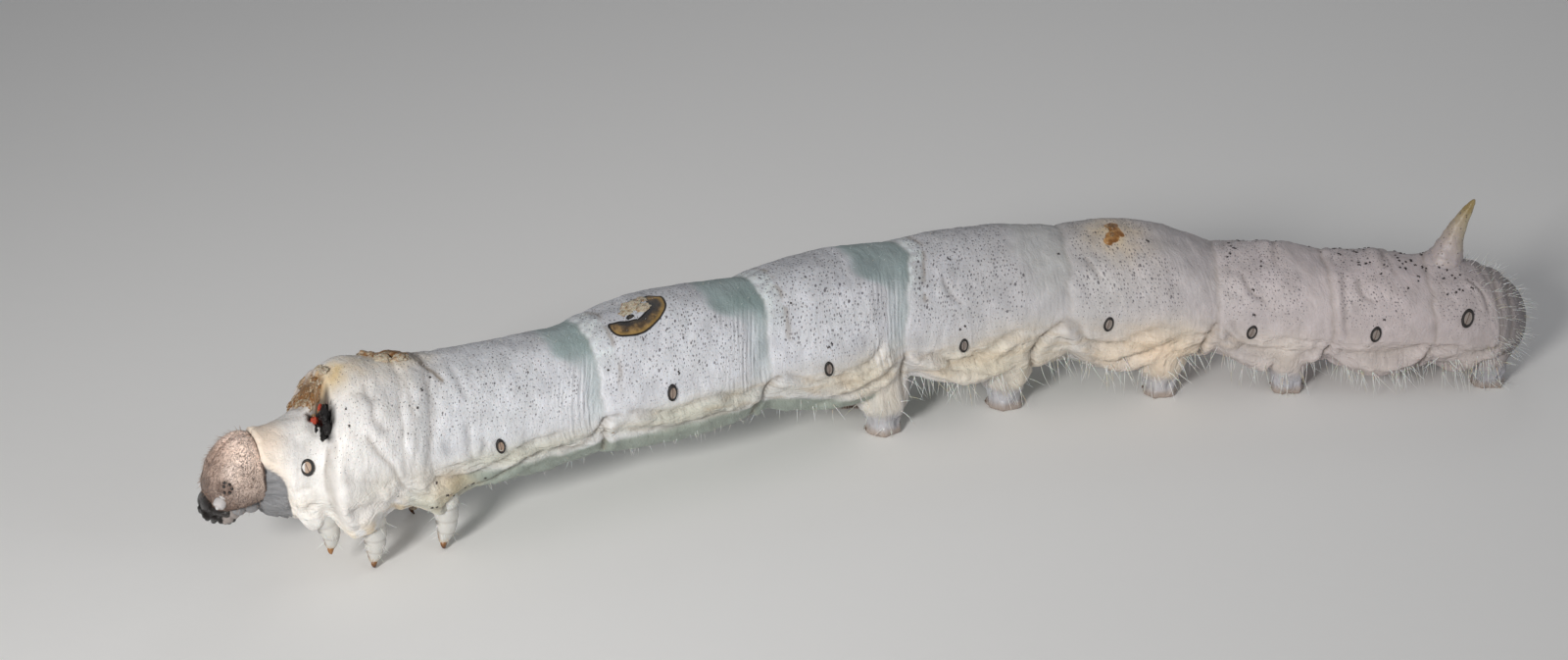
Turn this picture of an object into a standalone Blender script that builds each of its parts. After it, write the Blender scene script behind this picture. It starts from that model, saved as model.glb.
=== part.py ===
"""A full-grown silkworm on its feet: head capsule, mouthparts, trunk rings, horn, legs and prolegs.

The head points to -X and the tail to +X, +Z is up, and the left side faces -Y. The trunk follows a spine
that curves on the floor plane. The spine is measured in millimetres from the neck, and a place on the skin
is given by its distance along the spine and its angle round the body: 0 on the back, 90 at the left side,
180 under the belly.
"""

import math
from collections import namedtuple

import bmesh
import bpy
from mathutils import Matrix, Vector

MM = 0.001
LEFT, RIGHT = 1, -1
SIDES = {"left": LEFT, "right": RIGHT}

# The spine's curve on the floor plane, in degrees from +X and millimetres from the neck
FRONT_HEADING = 26.0
REAR_HEADING = -4.0
BEND_START, BEND_END = 33.0, 57.0
SPINE_STEP = 0.25

# The trunk's rings from neck to tail, in millimetres: length, radius in front, in the middle and behind,
# height of the axis, and how far the fold under the breathing holes stands out
Ring = namedtuple("Ring", "name length front middle rear height fold")
NECK_START = 0.35
RINGS = (
    Ring("thorax_1", 3.55, 2.25, 2.65, 3.00, 5.80, 0.0),
    Ring("thorax_2", 4.00, 4.15, 4.20, 3.95, 6.70, 0.0),
    Ring("thorax_3", 2.20, 3.95, 4.00, 3.80, 6.40, 0.0),
    Ring("abdomen_1", 8.90, 3.75, 3.75, 3.65, 6.15, 0.20),
    Ring("abdomen_2", 10.70, 3.75, 4.12, 3.80, 6.45, 0.30),
    Ring("abdomen_3", 9.30, 3.85, 4.40, 4.05, 6.20, 0.50),
    Ring("abdomen_4", 9.20, 4.10, 4.30, 3.95, 5.90, 0.75),
    Ring("abdomen_5", 9.00, 4.00, 4.20, 3.20, 5.50, 0.60),
    Ring("abdomen_6", 5.90, 3.30, 3.50, 3.25, 4.75, 0.75),
    Ring("abdomen_7", 5.30, 3.30, 3.40, 3.15, 4.20, 0.75),
    Ring("abdomen_8", 4.60, 3.15, 3.10, 2.95, 3.85, 0.50),
    Ring("abdomen_9", 0.90, 2.85, 2.80, 2.65, 3.50, 0.20),
)
TAIL_LENGTH, TAIL_HEIGHT, TAIL_ROWS = 1.15, 3.40, 12
RING_SIDES = 32
RING_STATIONS = 5
RING_GAP = 0.10
SWELL_SHARPNESS = 0.6
CUTTER_SHARES = (0.01, 0.2, 0.4, 0.6, 0.8, 0.99)

# Folds: how far the ring joints bow along the spine at the sides, the place of the side fold, the flat belly
FRONT_BOW, REAR_BOW, BOW_FADE = -1.5, 1.1, 3.0
BOW_TURN_START, BOW_TURN_END = 41.0, 50.0
SIDE_FOLD_ANGLE, SIDE_FOLD_SPREAD = 132.0, 16.0
BELLY_FLATTENING, BELLY_SPREAD = 0.12, 38.0

# Swollen bases of the legs: place along the spine, angle round the body, height, spread along and round
Lobe = namedtuple("Lobe", "along angle height spread turn")
LEG_LOBES = (
    Lobe(2.5, 146.0, 0.75, 0.85, 18.0),
    Lobe(5.4, 150.0, 0.75, 1.00, 15.0),
    Lobe(9.2, 151.0, 0.60, 0.90, 14.0),
)

# Legs: place along the spine, half the stance, foot's height over the floor, lean towards the head
Leg = namedtuple("Leg", "along stance foot_height lean")
LEGS = (Leg(2.95, 2.00, 1.25, 0.45), Leg(5.1, 2.35, 0.0, 0.05), Leg(9.05, 2.30, 0.0, -0.35))
LEG_TOP_RADIUS, LEG_KNEE_RADIUS, LEG_ANKLE_RADIUS = 1.10, 0.70, 0.40
LEG_INWARD, LEG_KNEE_SHARE, LEG_TOP_DROP = 0.35, 0.42, 1.0
CLAW_LENGTH, CLAW_TOP_RADIUS, CLAW_FOOT_RADIUS = 0.60, 0.30, 0.20
LEG_SIDES = 14
SKIN_GAP = 0.06

# Prolegs on abdomen 3 to 6, then the pair at the tail: place along the spine, half the stance, and the
# radii of the thigh, the waist and the sole
Proleg = namedtuple("Proleg", "name along stance radius waist sole")
PROLEGS = (
    Proleg("proleg_3", 36.0, 2.10, 1.35, 0.88, 1.00),
    Proleg("proleg_4", 44.1, 1.95, 1.40, 0.90, 1.05),
    Proleg("proleg_5", 53.8, 1.95, 1.35, 0.88, 1.00),
    Proleg("proleg_6", 61.2, 1.85, 1.20, 0.82, 0.95),
    Proleg("anal_proleg", 72.8, 1.50, 1.10, 0.85, 0.95),
)
PROLEG_SIDES, PROLEG_TOP_DROP, PROLEG_WAIST_HEIGHT = 20, 1.7, 0.7
PROLEG_SHOULDER_SHARE, PROLEG_TOP_TAPER = 0.7, 0.6
FOOT_BEVEL = 0.10

# Horn on abdomen 8: its radii at the base, above the flare, half way up and at the tip
HORN_ALONG, HORN_LENGTH, HORN_LEAN = 69.6, 3.9, 30.0
HORN_BASE_RADIUS, HORN_FLARE_RADIUS, HORN_NECK_RADIUS, HORN_TIP_RADIUS = 1.45, 0.69, 0.55, 0.26
HORN_FLARE_HEIGHT, HORN_NECK_HEIGHT = 0.9, 2.0
HORN_SINK, HORN_TIP_BEVEL = 0.9, 0.15

# Head capsule: an egg whose mouth end is tilted forward, with a shallow groove down its face
HEAD_ALONG, HEAD_HEIGHT = -1.25, 6.15
HEAD_TILT = 25.0
HEAD_HALF_HEIGHT, HEAD_HALF_WIDTH, HEAD_HALF_DEPTH = 2.45, 1.85, 1.52
MOUTH_PLANE = 1.62
FACE_GROOVE, FACE_GROOVE_SPREAD = 0.16, 0.30
NECK_PLANE = 0.25

# Mouthparts and feelers, in the head's own frame: out of the face, to the side, the radii at the root and at
# the tip, and the length below the mouth plane
MouthPart = namedtuple("MouthPart", "name forward side radius tip length colour")
JAW_COLOUR, FEELER_COLOUR = (0.05, 0.03, 0.02), (0.60, 0.57, 0.55)
MOUTHPARTS = (
    MouthPart("mandible", 0.30, 0.45, 0.40, 0.22, 0.95, JAW_COLOUR),
    MouthPart("maxilla", -0.42, 0.75, 0.30, 0.20, 0.70, FEELER_COLOUR),
    MouthPart("antenna", 0.62, 1.10, 0.26, 0.22, 0.65, FEELER_COLOUR),
)
MOUTHPART_SHOULDER, MOUTHPART_TAPER, MOUTHPART_SIDES = 0.55, 0.9, 14
LABRUM_SIZE, LABRUM_FORWARD, LABRUM_BEVEL = (0.35, 1.10, 0.55), 0.93, 0.12
LABIUM_RADIUS, LABIUM_TIP_RADIUS, LABIUM_LENGTH, LABIUM_FORWARD = 0.42, 0.19, 0.70, -0.68
LABIUM_SHOULDER, LABIUM_SIDES = 0.6, 16

# Eyes: five small domes in an arc and one behind them, on a low pad at each side of the face
EYES_FORWARD, EYES_DOWN, EYE_LIFT = 0.60, 0.25, 0.03
EYE_PAD_RADIUS, EYE_PAD_THICKNESS, EYE_PAD_SIDES = 0.44, 0.10, 24
EYE_RADIUS, EYE_ARC_RADIUS, EYES_IN_ARC = 0.12, 0.29, 5
EYE_ARC_START, EYE_ARC_STEP, LAST_EYE_SHIFT = 60.0, 52.0, 0.06


# ---- the spine and the places on the skin ----


def smooth(value):
    value = min(max(value, 0.0), 1.0)
    return value * value * (3.0 - 2.0 * value)


def bell(offset, spread):
    return math.exp(-((offset / spread) ** 2))


def heading(along):
    turned = smooth((along - BEND_START) / (BEND_END - BEND_START))
    return math.radians(FRONT_HEADING + (REAR_HEADING - FRONT_HEADING) * turned)


def ring_starts():
    starts, along = [], NECK_START
    for ring in RINGS:
        starts.append(along)
        along += ring.length
    return starts, along


STARTS, TAIL_START = ring_starts()
TAIL_END = TAIL_START + TAIL_LENGTH


def axis_height(along):
    """The spine's height, level at each ring's middle and eased from one to the next."""
    middles = [start + ring.length / 2 for start, ring in zip(STARTS, RINGS)] + [TAIL_END]
    heights = [ring.height for ring in RINGS] + [TAIL_HEIGHT]
    if along <= middles[0]:
        return heights[0]
    for index in range(1, len(middles)):
        if along <= middles[index]:
            share = (along - middles[index - 1]) / (middles[index] - middles[index - 1])
            return heights[index - 1] + (heights[index] - heights[index - 1]) * smooth(share)
    return heights[-1]


def spine_plan(along):
    """The spine's place on the floor plane, summed in short steps from the neck."""
    steps = max(1, round(abs(along) / SPINE_STEP))
    step = along / steps
    x = y = 0.0
    for index in range(steps):
        angle = heading(step * (index + 0.5))
        x += math.cos(angle) * step
        y += math.sin(angle) * step
    return x, y


def spine_frame(along):
    """The spine's point, and the directions to the tail, to the left and up."""
    x, y = spine_plan(along)
    angle = heading(along)
    tailward = Vector((math.cos(angle), math.sin(angle), 0.0))
    left = Vector((math.sin(angle), -math.cos(angle), 0.0))
    return Vector((x, y, axis_height(along))), tailward, left, Vector((0.0, 0.0, 1.0))


def ring_radius(ring, share):
    straight = ring.front + (ring.rear - ring.front) * share
    swell = ring.middle - (ring.front + ring.rear) / 2
    return straight + swell * math.sin(math.pi * min(max(share, 0.0), 1.0)) ** SWELL_SHARPNESS


def joint_bow(along):
    """How far a joint is drawn tailward at the sides, fading to nothing at the neck and at the tail."""
    turn = smooth((along - BOW_TURN_START) / (BOW_TURN_END - BOW_TURN_START))
    bow = FRONT_BOW + (REAR_BOW - FRONT_BOW) * turn
    return bow * smooth((along - NECK_START) / BOW_FADE) * smooth((TAIL_START - along) / BOW_FADE)


def skin_radius(ring, share, along, angle):
    """The trunk's radius at an angle from the back, with the side folds, the flat belly and the leg lobes."""
    turned = abs((angle + 180.0) % 360.0 - 180.0)
    radius = ring_radius(ring, share)
    radius *= 1.0 - BELLY_FLATTENING * bell(turned - 180.0, BELLY_SPREAD)
    fold = ring.fold * math.sin(math.pi * min(max(share, 0.0), 1.0))
    radius += fold * bell(turned - SIDE_FOLD_ANGLE, SIDE_FOLD_SPREAD)
    for lobe in LEG_LOBES:
        radius += lobe.height * bell(along - lobe.along, lobe.spread) * bell(turned - lobe.angle, lobe.turn)
    return radius


def skin_point(ring, share, angle, grow=0.0):
    """A point of one ring's skin, or of that skin grown outwards by a gap."""
    start = STARTS[RINGS.index(ring)]
    along = start + ring.length * share
    radians = math.radians(angle)
    bowed = along + joint_bow(along) * math.sin(radians) ** 2
    centre, tailward, left, up = spine_frame(bowed)
    radius = skin_radius(ring, share, along, angle) + grow
    return centre + left * (radius * math.sin(radians)) + up * (radius * math.cos(radians))


# ---- making objects ----


def paint(obj, colour, roughness):
    material = bpy.data.materials.new(obj.name)
    material.use_nodes = True
    shader = material.node_tree.nodes["Principled BSDF"]
    shader.inputs["Base Color"].default_value = (*colour, 1.0)
    shader.inputs["Roughness"].default_value = roughness
    shader.inputs["Metallic"].default_value = 0.0
    obj.data.materials.append(material)


def add_object(name, bm, root, colour=(0.8, 0.8, 0.8), roughness=0.5, matrix=None):
    """An object of the mesh, measured in millimetres until here, under the root empty."""
    bmesh.ops.scale(bm, vec=(MM, MM, MM), verts=bm.verts)
    mesh = bpy.data.meshes.new(name)
    bm.to_mesh(mesh)
    bm.free()
    mesh.shade_smooth()
    mesh.set_sharp_from_angle(angle=math.radians(50.0))
    obj = bpy.data.objects.new(name, mesh)
    bpy.context.scene.collection.objects.link(obj)
    obj.parent = root
    if matrix:
        obj.matrix_local = Matrix.Translation(matrix.translation * MM) @ matrix.to_3x3().to_4x4()
    paint(obj, colour, roughness)
    return obj


def cut_with(obj, cutter):
    modifier = obj.modifiers.new("cut " + cutter.name, "BOOLEAN")
    modifier.operation = "DIFFERENCE"
    modifier.solver = "EXACT"
    modifier.object = cutter


def hide_cutter(obj):
    obj.hide_render = True
    obj.display_type = "WIRE"
    return obj


def rod(stations, sides, fans=False):
    """A unit cylinder divided into stations, and each vertex's station number, its centre points included."""
    bm = bmesh.new()
    bmesh.ops.create_cone(bm, cap_ends=True, cap_tris=fans, segments=sides, radius1=1.0, radius2=1.0, depth=1)
    if stations > 2:
        lengthwise = [e for e in bm.edges if abs(e.verts[0].co.z - e.verts[1].co.z) > 0.5]
        bmesh.ops.subdivide_edges(bm, edges=lengthwise, cuts=stations - 2)
    return bm, {vert: round((vert.co.z + 0.5) * (stations - 1)) for vert in bm.verts}


def stick(profile, sides):
    """A closed turned shape along +Z from (height, radius) pairs, lowest first."""
    bm, station = rod(len(profile), sides)
    for vert in bm.verts:
        height, radius = profile[station[vert]]
        vert.co = Vector((vert.co.x * radius, vert.co.y * radius, height))
    return bm


def ease_edges(bm, width, heights):
    """Rounds the rims that lie at the given heights."""
    rims = [e for e in bm.edges if any(all(abs(v.co.z - h) < 1e-5 for v in e.verts) for h in heights)]
    bmesh.ops.bevel(bm, geom=rims, offset=width, affect="EDGES", segments=2, profile=0.5, material=-1)


def trim(bm, point, normal):
    """Cuts off what lies past a plane and closes the cut."""
    geom = bm.verts[:] + bm.edges[:] + bm.faces[:]
    bmesh.ops.bisect_plane(bm, geom=geom, plane_co=point, plane_no=normal, clear_outer=True)
    bmesh.ops.holes_fill(bm, edges=[e for e in bm.edges if e.is_boundary])


# ---- trunk ----

SKIN_COLOUR = (0.83, 0.80, 0.79)


def barrel(stations, grow=0.0):
    """A closed body through stations of the trunk, each a ring and a share of its length."""
    bm, station = rod(len(stations), RING_SIDES, fans=True)
    for vert in bm.verts:
        ring, share = stations[station[vert]]
        if Vector((vert.co.x, vert.co.y)).length < 0.5:
            vert.co = spine_frame(STARTS[RINGS.index(ring)] + ring.length * share)[0]
        else:
            vert.co = skin_point(ring, share, math.degrees(math.atan2(vert.co.y, vert.co.x)), grow)
    return bm


def build_trunk(root):
    for ring in RINGS:
        edge = RING_GAP / 2 / ring.length
        shares = [edge + (1.0 - 2.0 * edge) * step / (RING_STATIONS - 1) for step in range(RING_STATIONS)]
        add_object(ring.name, barrel([(ring, share) for share in shares]), root, SKIN_COLOUR, 0.45)


def build_tail(root):
    """The last ring, a dome that closes the trunk over the anal prolegs."""
    bm = bmesh.new()
    bmesh.ops.create_uvsphere(bm, u_segments=RING_SIDES, v_segments=TAIL_ROWS, radius=1.0)
    trim(bm, (0.0, 0.0, 0.0), (0.0, 0.0, -1.0))
    last = RINGS[-1]
    for vert in bm.verts:
        centre, tailward, left, up = spine_frame(TAIL_START + RING_GAP / 2)
        height, width = last.rear * vert.co.x, last.rear * vert.co.y
        vert.co = centre + left * width + up * height + tailward * (TAIL_LENGTH * vert.co.z)
    add_object("abdomen_10", bm, root, SKIN_COLOUR, 0.45)


def build_cutter(root):
    """The trunk grown by the skin gap, one hidden body that trims the legs, the prolegs and the horn."""
    stations = [(ring, share) for ring in RINGS for share in CUTTER_SHARES]
    return hide_cutter(add_object("trunk_cutter", barrel(stations, SKIN_GAP), root))


# ---- legs and prolegs ----

LEG_COLOUR, CLAW_COLOUR = (0.80, 0.78, 0.74), (0.30, 0.14, 0.05)
PROLEG_COLOUR = (0.80, 0.76, 0.72)


def floor_place(along, offset):
    """A point of the floor beside the spine, counted towards the left."""
    centre, tailward, left, up = spine_frame(along)
    place = centre + left * offset
    place.z = 0.0
    return place, tailward


def build_legs(root, cutter):
    """Three pairs of jointed legs, each a tapering limb over a claw whose tip is a small flat."""
    for number, leg in enumerate(LEGS, start=1):
        for side, sign in SIDES.items():
            foot, tailward = floor_place(leg.along, sign * leg.stance)
            foot.z = leg.foot_height
            claw = stick([(0.0, CLAW_FOOT_RADIUS), (CLAW_LENGTH, CLAW_TOP_RADIUS)], LEG_SIDES)
            add_object(f"claw_{number}_{side}", claw, root, CLAW_COLOUR, 0.3, Matrix.Translation(foot))
            ankle = CLAW_LENGTH + SKIN_GAP
            top = axis_height(leg.along) - leg.foot_height - LEG_TOP_DROP
            knee = ankle + LEG_KNEE_SHARE * (top - ankle)
            profile = [(ankle, LEG_ANKLE_RADIUS), (knee, LEG_KNEE_RADIUS), (top, LEG_TOP_RADIUS)]
            limb = stick(profile, LEG_SIDES)
            inward = floor_place(leg.along, 0.0)[0] - Vector((foot.x, foot.y, 0.0))
            for vert in limb.verts:
                share = (vert.co.z - ankle) / (top - ankle)
                vert.co += tailward * (-leg.lean * share) + inward.normalized() * (LEG_INWARD * share)
            place = Matrix.Translation(foot)
            cut_with(add_object(f"leg_{number}_{side}", limb, root, LEG_COLOUR, 0.3, place), cutter)


def build_prolegs(root, cutter):
    """Four pairs of fleshy prolegs and the pair at the tail, each a short column on a flat sole."""
    for proleg in PROLEGS:
        for side, sign in SIDES.items():
            foot, tailward = floor_place(proleg.along, sign * proleg.stance)
            top = axis_height(proleg.along) - PROLEG_TOP_DROP
            foot_part = [(0.0, proleg.sole), (PROLEG_WAIST_HEIGHT, proleg.waist)]
            thigh = [(PROLEG_SHOULDER_SHARE * top, proleg.radius), (top, PROLEG_TOP_TAPER * proleg.radius)]
            column = stick(foot_part + thigh, PROLEG_SIDES)
            ease_edges(column, FOOT_BEVEL, (0.0,))
            place = Matrix.Translation(foot)
            cut_with(add_object(f"{proleg.name}_{side}", column, root, PROLEG_COLOUR, 0.45, place), cutter)


def build_horn(root, cutter):
    centre, tailward, left, up = spine_frame(HORN_ALONG)
    ring = RINGS[-2]
    radius = skin_radius(ring, (HORN_ALONG - STARTS[-2]) / ring.length, HORN_ALONG, 0.0)
    profile = [
        (0.0, HORN_BASE_RADIUS),
        (HORN_SINK, HORN_BASE_RADIUS),
        (HORN_SINK + HORN_FLARE_HEIGHT, HORN_FLARE_RADIUS),
        (HORN_SINK + HORN_NECK_HEIGHT, HORN_NECK_RADIUS),
        (HORN_SINK + HORN_LENGTH, HORN_TIP_RADIUS),
    ]
    horn = stick(profile, PROLEG_SIDES)
    ease_edges(horn, HORN_TIP_BEVEL, (HORN_SINK + HORN_LENGTH,))
    lean = Matrix.Rotation(math.radians(HORN_LEAN), 4, "Y")
    turn = Matrix.Rotation(heading(HORN_ALONG), 4, "Z")
    place = Matrix.Translation(centre + up * (radius - HORN_SINK))
    cut_with(add_object("horn", horn, root, (0.72, 0.62, 0.45), 0.4, place @ turn @ lean), cutter)


# ---- head ----

HEAD_COLOUR, EYE_COLOUR = (0.52, 0.34, 0.27), (0.03, 0.02, 0.02)


def head_matrix():
    """The head's frame: +X out of the face, +Y to the left, +Z to the crown, tilted mouth forward."""
    centre, tailward, left, up = spine_frame(HEAD_ALONG)
    forward = -tailward
    tilt = math.radians(HEAD_TILT)
    out = forward * math.cos(tilt) + up * math.sin(tilt)
    crown = up * math.cos(tilt) - forward * math.sin(tilt)
    rotation = Matrix((out, left, crown)).transposed().to_4x4()
    centre.z = HEAD_HEIGHT
    return Matrix.Translation(centre) @ rotation


def head_surface(x, z):
    """The left side of the egg at a depth and a height, and the way out of it."""
    share = 1.0 - (x / HEAD_HALF_DEPTH) ** 2 - (z / HEAD_HALF_HEIGHT) ** 2
    place = Vector((x, HEAD_HALF_WIDTH * math.sqrt(share), z))
    out = Vector((x / HEAD_HALF_DEPTH**2, place.y / HEAD_HALF_WIDTH**2, z / HEAD_HALF_HEIGHT**2)).normalized()
    return place, out


def build_capsule(root, frame):
    bm = bmesh.new()
    bmesh.ops.create_uvsphere(bm, u_segments=24, v_segments=16, radius=1.0)
    bmesh.ops.scale(bm, vec=(HEAD_HALF_DEPTH, HEAD_HALF_WIDTH, HEAD_HALF_HEIGHT), verts=bm.verts)
    for vert in bm.verts:
        if vert.co.x > 0.0 or vert.co.z > 0.0:
            share = max(vert.co.x / HEAD_HALF_DEPTH, vert.co.z / HEAD_HALF_HEIGHT)
            vert.co -= vert.co.normalized() * (FACE_GROOVE * share * bell(vert.co.y, FACE_GROOVE_SPREAD))
    trim(bm, (0.0, 0.0, -MOUTH_PLANE), (0.0, 0.0, -1.0))
    neck, tailward, left, up = spine_frame(NECK_PLANE)
    inverse = frame.inverted()
    trim(bm, inverse @ neck, inverse.to_3x3() @ tailward)
    add_object("head", bm, root, HEAD_COLOUR, 0.4, frame)


def mouth_place(frame, forward, side, height=MOUTH_PLANE):
    """A place under the mouth plane, whose own +Z points away from the crown."""
    offset = Vector((forward, side, -height - SKIN_GAP))
    return frame @ Matrix.Translation(offset) @ Matrix.Rotation(math.pi, 4, "X")


def build_mouthparts(root, frame):
    bm = bmesh.new()
    bmesh.ops.create_cube(bm, size=1.0)
    bmesh.ops.scale(bm, vec=LABRUM_SIZE, verts=bm.verts)
    bmesh.ops.translate(bm, vec=(0.0, 0.0, LABRUM_SIZE[2] / 2), verts=bm.verts)
    edges = bm.edges[:]
    bmesh.ops.bevel(bm, geom=edges, offset=LABRUM_BEVEL, affect="EDGES", segments=2, profile=0.5, material=-1)
    add_object("labrum", bm, root, JAW_COLOUR, 0.2, mouth_place(frame, LABRUM_FORWARD, 0.0))
    shoulder = LABIUM_LENGTH * LABIUM_SHOULDER
    profile = [(0.0, LABIUM_RADIUS), (shoulder, LABIUM_RADIUS), (LABIUM_LENGTH, LABIUM_TIP_RADIUS)]
    place = mouth_place(frame, LABIUM_FORWARD, 0.0)
    add_object("labium", stick(profile, LABIUM_SIDES), root, FEELER_COLOUR, 0.3, place)
    for side, sign in SIDES.items():
        for part in MOUTHPARTS:
            shoulder = (part.length * MOUTHPART_SHOULDER, part.radius * MOUTHPART_TAPER)
            palp = stick([(0.0, part.radius), shoulder, (part.length, part.tip)], MOUTHPART_SIDES)
            place = mouth_place(frame, part.forward, sign * part.side)
            add_object(f"{part.name}_{side}", palp, root, part.colour, 0.3, place)


def build_eyes(root, frame):
    """A cluster of six small eyes on each side: five in an arc and one behind, on one low pad."""
    place, out = head_surface(EYES_FORWARD, -EYES_DOWN)
    for side, sign in SIDES.items():
        pad = stick([(0.0, EYE_PAD_RADIUS), (EYE_PAD_THICKNESS, EYE_PAD_RADIUS)], EYE_PAD_SIDES)
        domes = bmesh.new()
        turns = [math.radians(EYE_ARC_START + EYE_ARC_STEP * step) for step in range(EYES_IN_ARC)]
        spots = [(EYE_ARC_RADIUS * math.cos(turn), EYE_ARC_RADIUS * math.sin(turn)) for turn in turns]
        spots.append((LAST_EYE_SHIFT, 0.0))
        for x, y in spots:
            shift = Matrix.Translation((x, y, EYE_PAD_THICKNESS))
            bmesh.ops.create_icosphere(domes, subdivisions=1, radius=EYE_RADIUS, matrix=shift)
        mirror = Matrix.Scale(sign, 4, (0.0, 1.0, 0.0))
        point, normal = mirror @ place, mirror.to_3x3() @ out
        turned = normal.to_track_quat("Z", "Y").to_matrix().to_4x4()
        where = frame @ Matrix.Translation(point + normal * EYE_LIFT) @ turned
        lenses = hide_cutter(add_object(f"eye_domes_{side}", domes, root, EYE_COLOUR, 0.1, where))
        obj = add_object(f"eyes_{side}", pad, root, EYE_COLOUR, 0.1, where)
        join = obj.modifiers.new("eye domes", "BOOLEAN")
        join.operation = "UNION"
        join.solver = "EXACT"
        join.object = lenses


def centre_on_floor(root):
    """Moves the whole animal so that the middle of its plan is at the origin."""
    bpy.context.view_layer.update()
    graph = bpy.context.evaluated_depsgraph_get()
    corners = []
    for obj in root.children:
        if not obj.hide_render:
            shape = obj.evaluated_get(graph)
            corners += [shape.matrix_world @ vert.co for vert in shape.to_mesh().vertices]
    for axis in (0, 1):
        values = [corner[axis] for corner in corners]
        root.location[axis] = -(min(values) + max(values)) / 2


def main():
    for obj in list(bpy.data.objects):
        bpy.data.objects.remove(obj, do_unlink=True)
    root = bpy.data.objects.new("silkworm", None)
    bpy.context.scene.collection.objects.link(root)
    build_trunk(root)
    build_tail(root)
    cutter = build_cutter(root)
    build_legs(root, cutter)
    build_prolegs(root, cutter)
    build_horn(root, cutter)
    frame = head_matrix()
    build_capsule(root, frame)
    build_mouthparts(root, frame)
    build_eyes(root, frame)
    centre_on_floor(root)
    bpy.context.view_layer.update()


main()
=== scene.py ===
"""A full-grown silkworm on its feet, seen from its left side, on a plain pale floor."""

import math

import bmesh
import bpy
import numpy as np
from mathutils import Matrix, Vector, noise


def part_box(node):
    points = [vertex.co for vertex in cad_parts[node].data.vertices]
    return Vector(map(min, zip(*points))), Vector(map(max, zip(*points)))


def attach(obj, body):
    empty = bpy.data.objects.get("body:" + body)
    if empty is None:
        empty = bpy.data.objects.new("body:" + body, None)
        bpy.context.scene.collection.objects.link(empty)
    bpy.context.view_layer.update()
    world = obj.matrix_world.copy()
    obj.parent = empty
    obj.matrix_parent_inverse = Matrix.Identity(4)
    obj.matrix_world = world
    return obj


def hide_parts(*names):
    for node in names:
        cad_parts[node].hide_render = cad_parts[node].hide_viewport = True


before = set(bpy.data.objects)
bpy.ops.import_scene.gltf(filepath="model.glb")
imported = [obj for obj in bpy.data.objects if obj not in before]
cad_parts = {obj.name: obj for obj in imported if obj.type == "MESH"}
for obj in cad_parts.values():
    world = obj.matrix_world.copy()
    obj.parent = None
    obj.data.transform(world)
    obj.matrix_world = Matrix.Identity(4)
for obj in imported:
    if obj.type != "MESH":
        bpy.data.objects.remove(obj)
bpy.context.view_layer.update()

# ---- body plan ----
# The spine runs along the middle of the body and bends on the floor plane. Places on the skin are given in
# millimetres along the spine from the neck, and in degrees round the body: 0 back, 90 left side, 180 belly.

MM = 0.001
SIDES = {"left": 1, "right": -1}
FRONT_HEADING, REAR_HEADING = 26.0, -4.0
BEND_START, BEND_END = 33.0, 57.0
NECK_START, TAIL_LENGTH, TAIL_HEIGHT = 0.35, 1.15, 3.4

# length, radius in front, in the middle and behind, height of the axis, how far the side fold stands out
THORAX = (
    (3.55, 2.25, 2.65, 3.0, 5.8, 0.0),
    (4.0, 4.15, 4.2, 3.95, 6.7, 0.0),
    (2.2, 3.95, 4.0, 3.8, 6.4, 0.0),
)
ABDOMEN = (
    (8.9, 3.75, 3.75, 3.65, 6.15, 0.2),
    (10.7, 3.75, 4.12, 3.8, 6.45, 0.3),
    (9.3, 3.85, 4.4, 4.05, 6.2, 0.5),
    (9.2, 4.1, 4.3, 3.95, 5.9, 0.75),
    (9.0, 4.0, 4.2, 3.2, 5.5, 0.6),
    (5.9, 3.3, 3.5, 3.25, 4.75, 0.75),
    (5.3, 3.3, 3.4, 3.15, 4.2, 0.75),
    (4.6, 3.15, 3.1, 2.95, 3.85, 0.5),
    (0.9, 2.85, 2.8, 2.65, 3.5, 0.2),
)
LENGTHS, FRONTS, MIDDLES, REARS, HEIGHTS, FOLDS = np.array(THORAX + ABDOMEN).T
STARTS = NECK_START + np.concatenate([[0.0], np.cumsum(LENGTHS)])
TAIL_START = STARTS[-1]
TAIL_END = TAIL_START + TAIL_LENGTH


def smooth(value):
    value = np.clip(value, 0.0, 1.0)
    return value * value * (3.0 - 2.0 * value)


def rise(value, start, over):
    """0 up to a start, 1 past it by a length, and a smooth rise between."""
    return smooth((value - start) / over)


def fall(value, end, over):
    """0 past an end, 1 before it by a length, and a smooth fall between."""
    return smooth((end - value) / over)


def bell(offset, spread):
    return np.exp(-((offset / spread) ** 2))


SPINE_STEP = 0.05
spine_places = np.arange(-8.0, 82.0, SPINE_STEP)
spine_turn = smooth((spine_places - BEND_START) / (BEND_END - BEND_START))
spine_heading = np.radians(FRONT_HEADING + (REAR_HEADING - FRONT_HEADING) * spine_turn)
spine_x = np.cumsum(np.cos(spine_heading)) * SPINE_STEP
spine_y = np.cumsum(np.sin(spine_heading)) * SPINE_STEP
spine_x -= np.interp(0.0, spine_places, spine_x)
spine_y -= np.interp(0.0, spine_places, spine_y)


def axis_height(along):
    """The axis is level at each ring's middle and eased from one ring to the next."""
    middles = np.append(STARTS[:-1] + LENGTHS / 2, TAIL_END)
    heights = np.append(HEIGHTS, TAIL_HEIGHT)
    before = np.clip(np.searchsorted(middles, along) - 1, 0, len(middles) - 2)
    share = (along - middles[before]) / (middles[before + 1] - middles[before])
    return heights[before] + (heights[before + 1] - heights[before]) * smooth(share)


def spine_point(along):
    """Places on the axis, and the directions to the left there."""
    heading = np.interp(along, spine_places, spine_heading)
    x = np.interp(along, spine_places, spine_x)
    y = np.interp(along, spine_places, spine_y)
    left = np.stack([np.sin(heading), -np.cos(heading), np.zeros_like(heading)], axis=-1)
    return np.stack([x, y, axis_height(along)], axis=-1) + NECK, left


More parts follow.
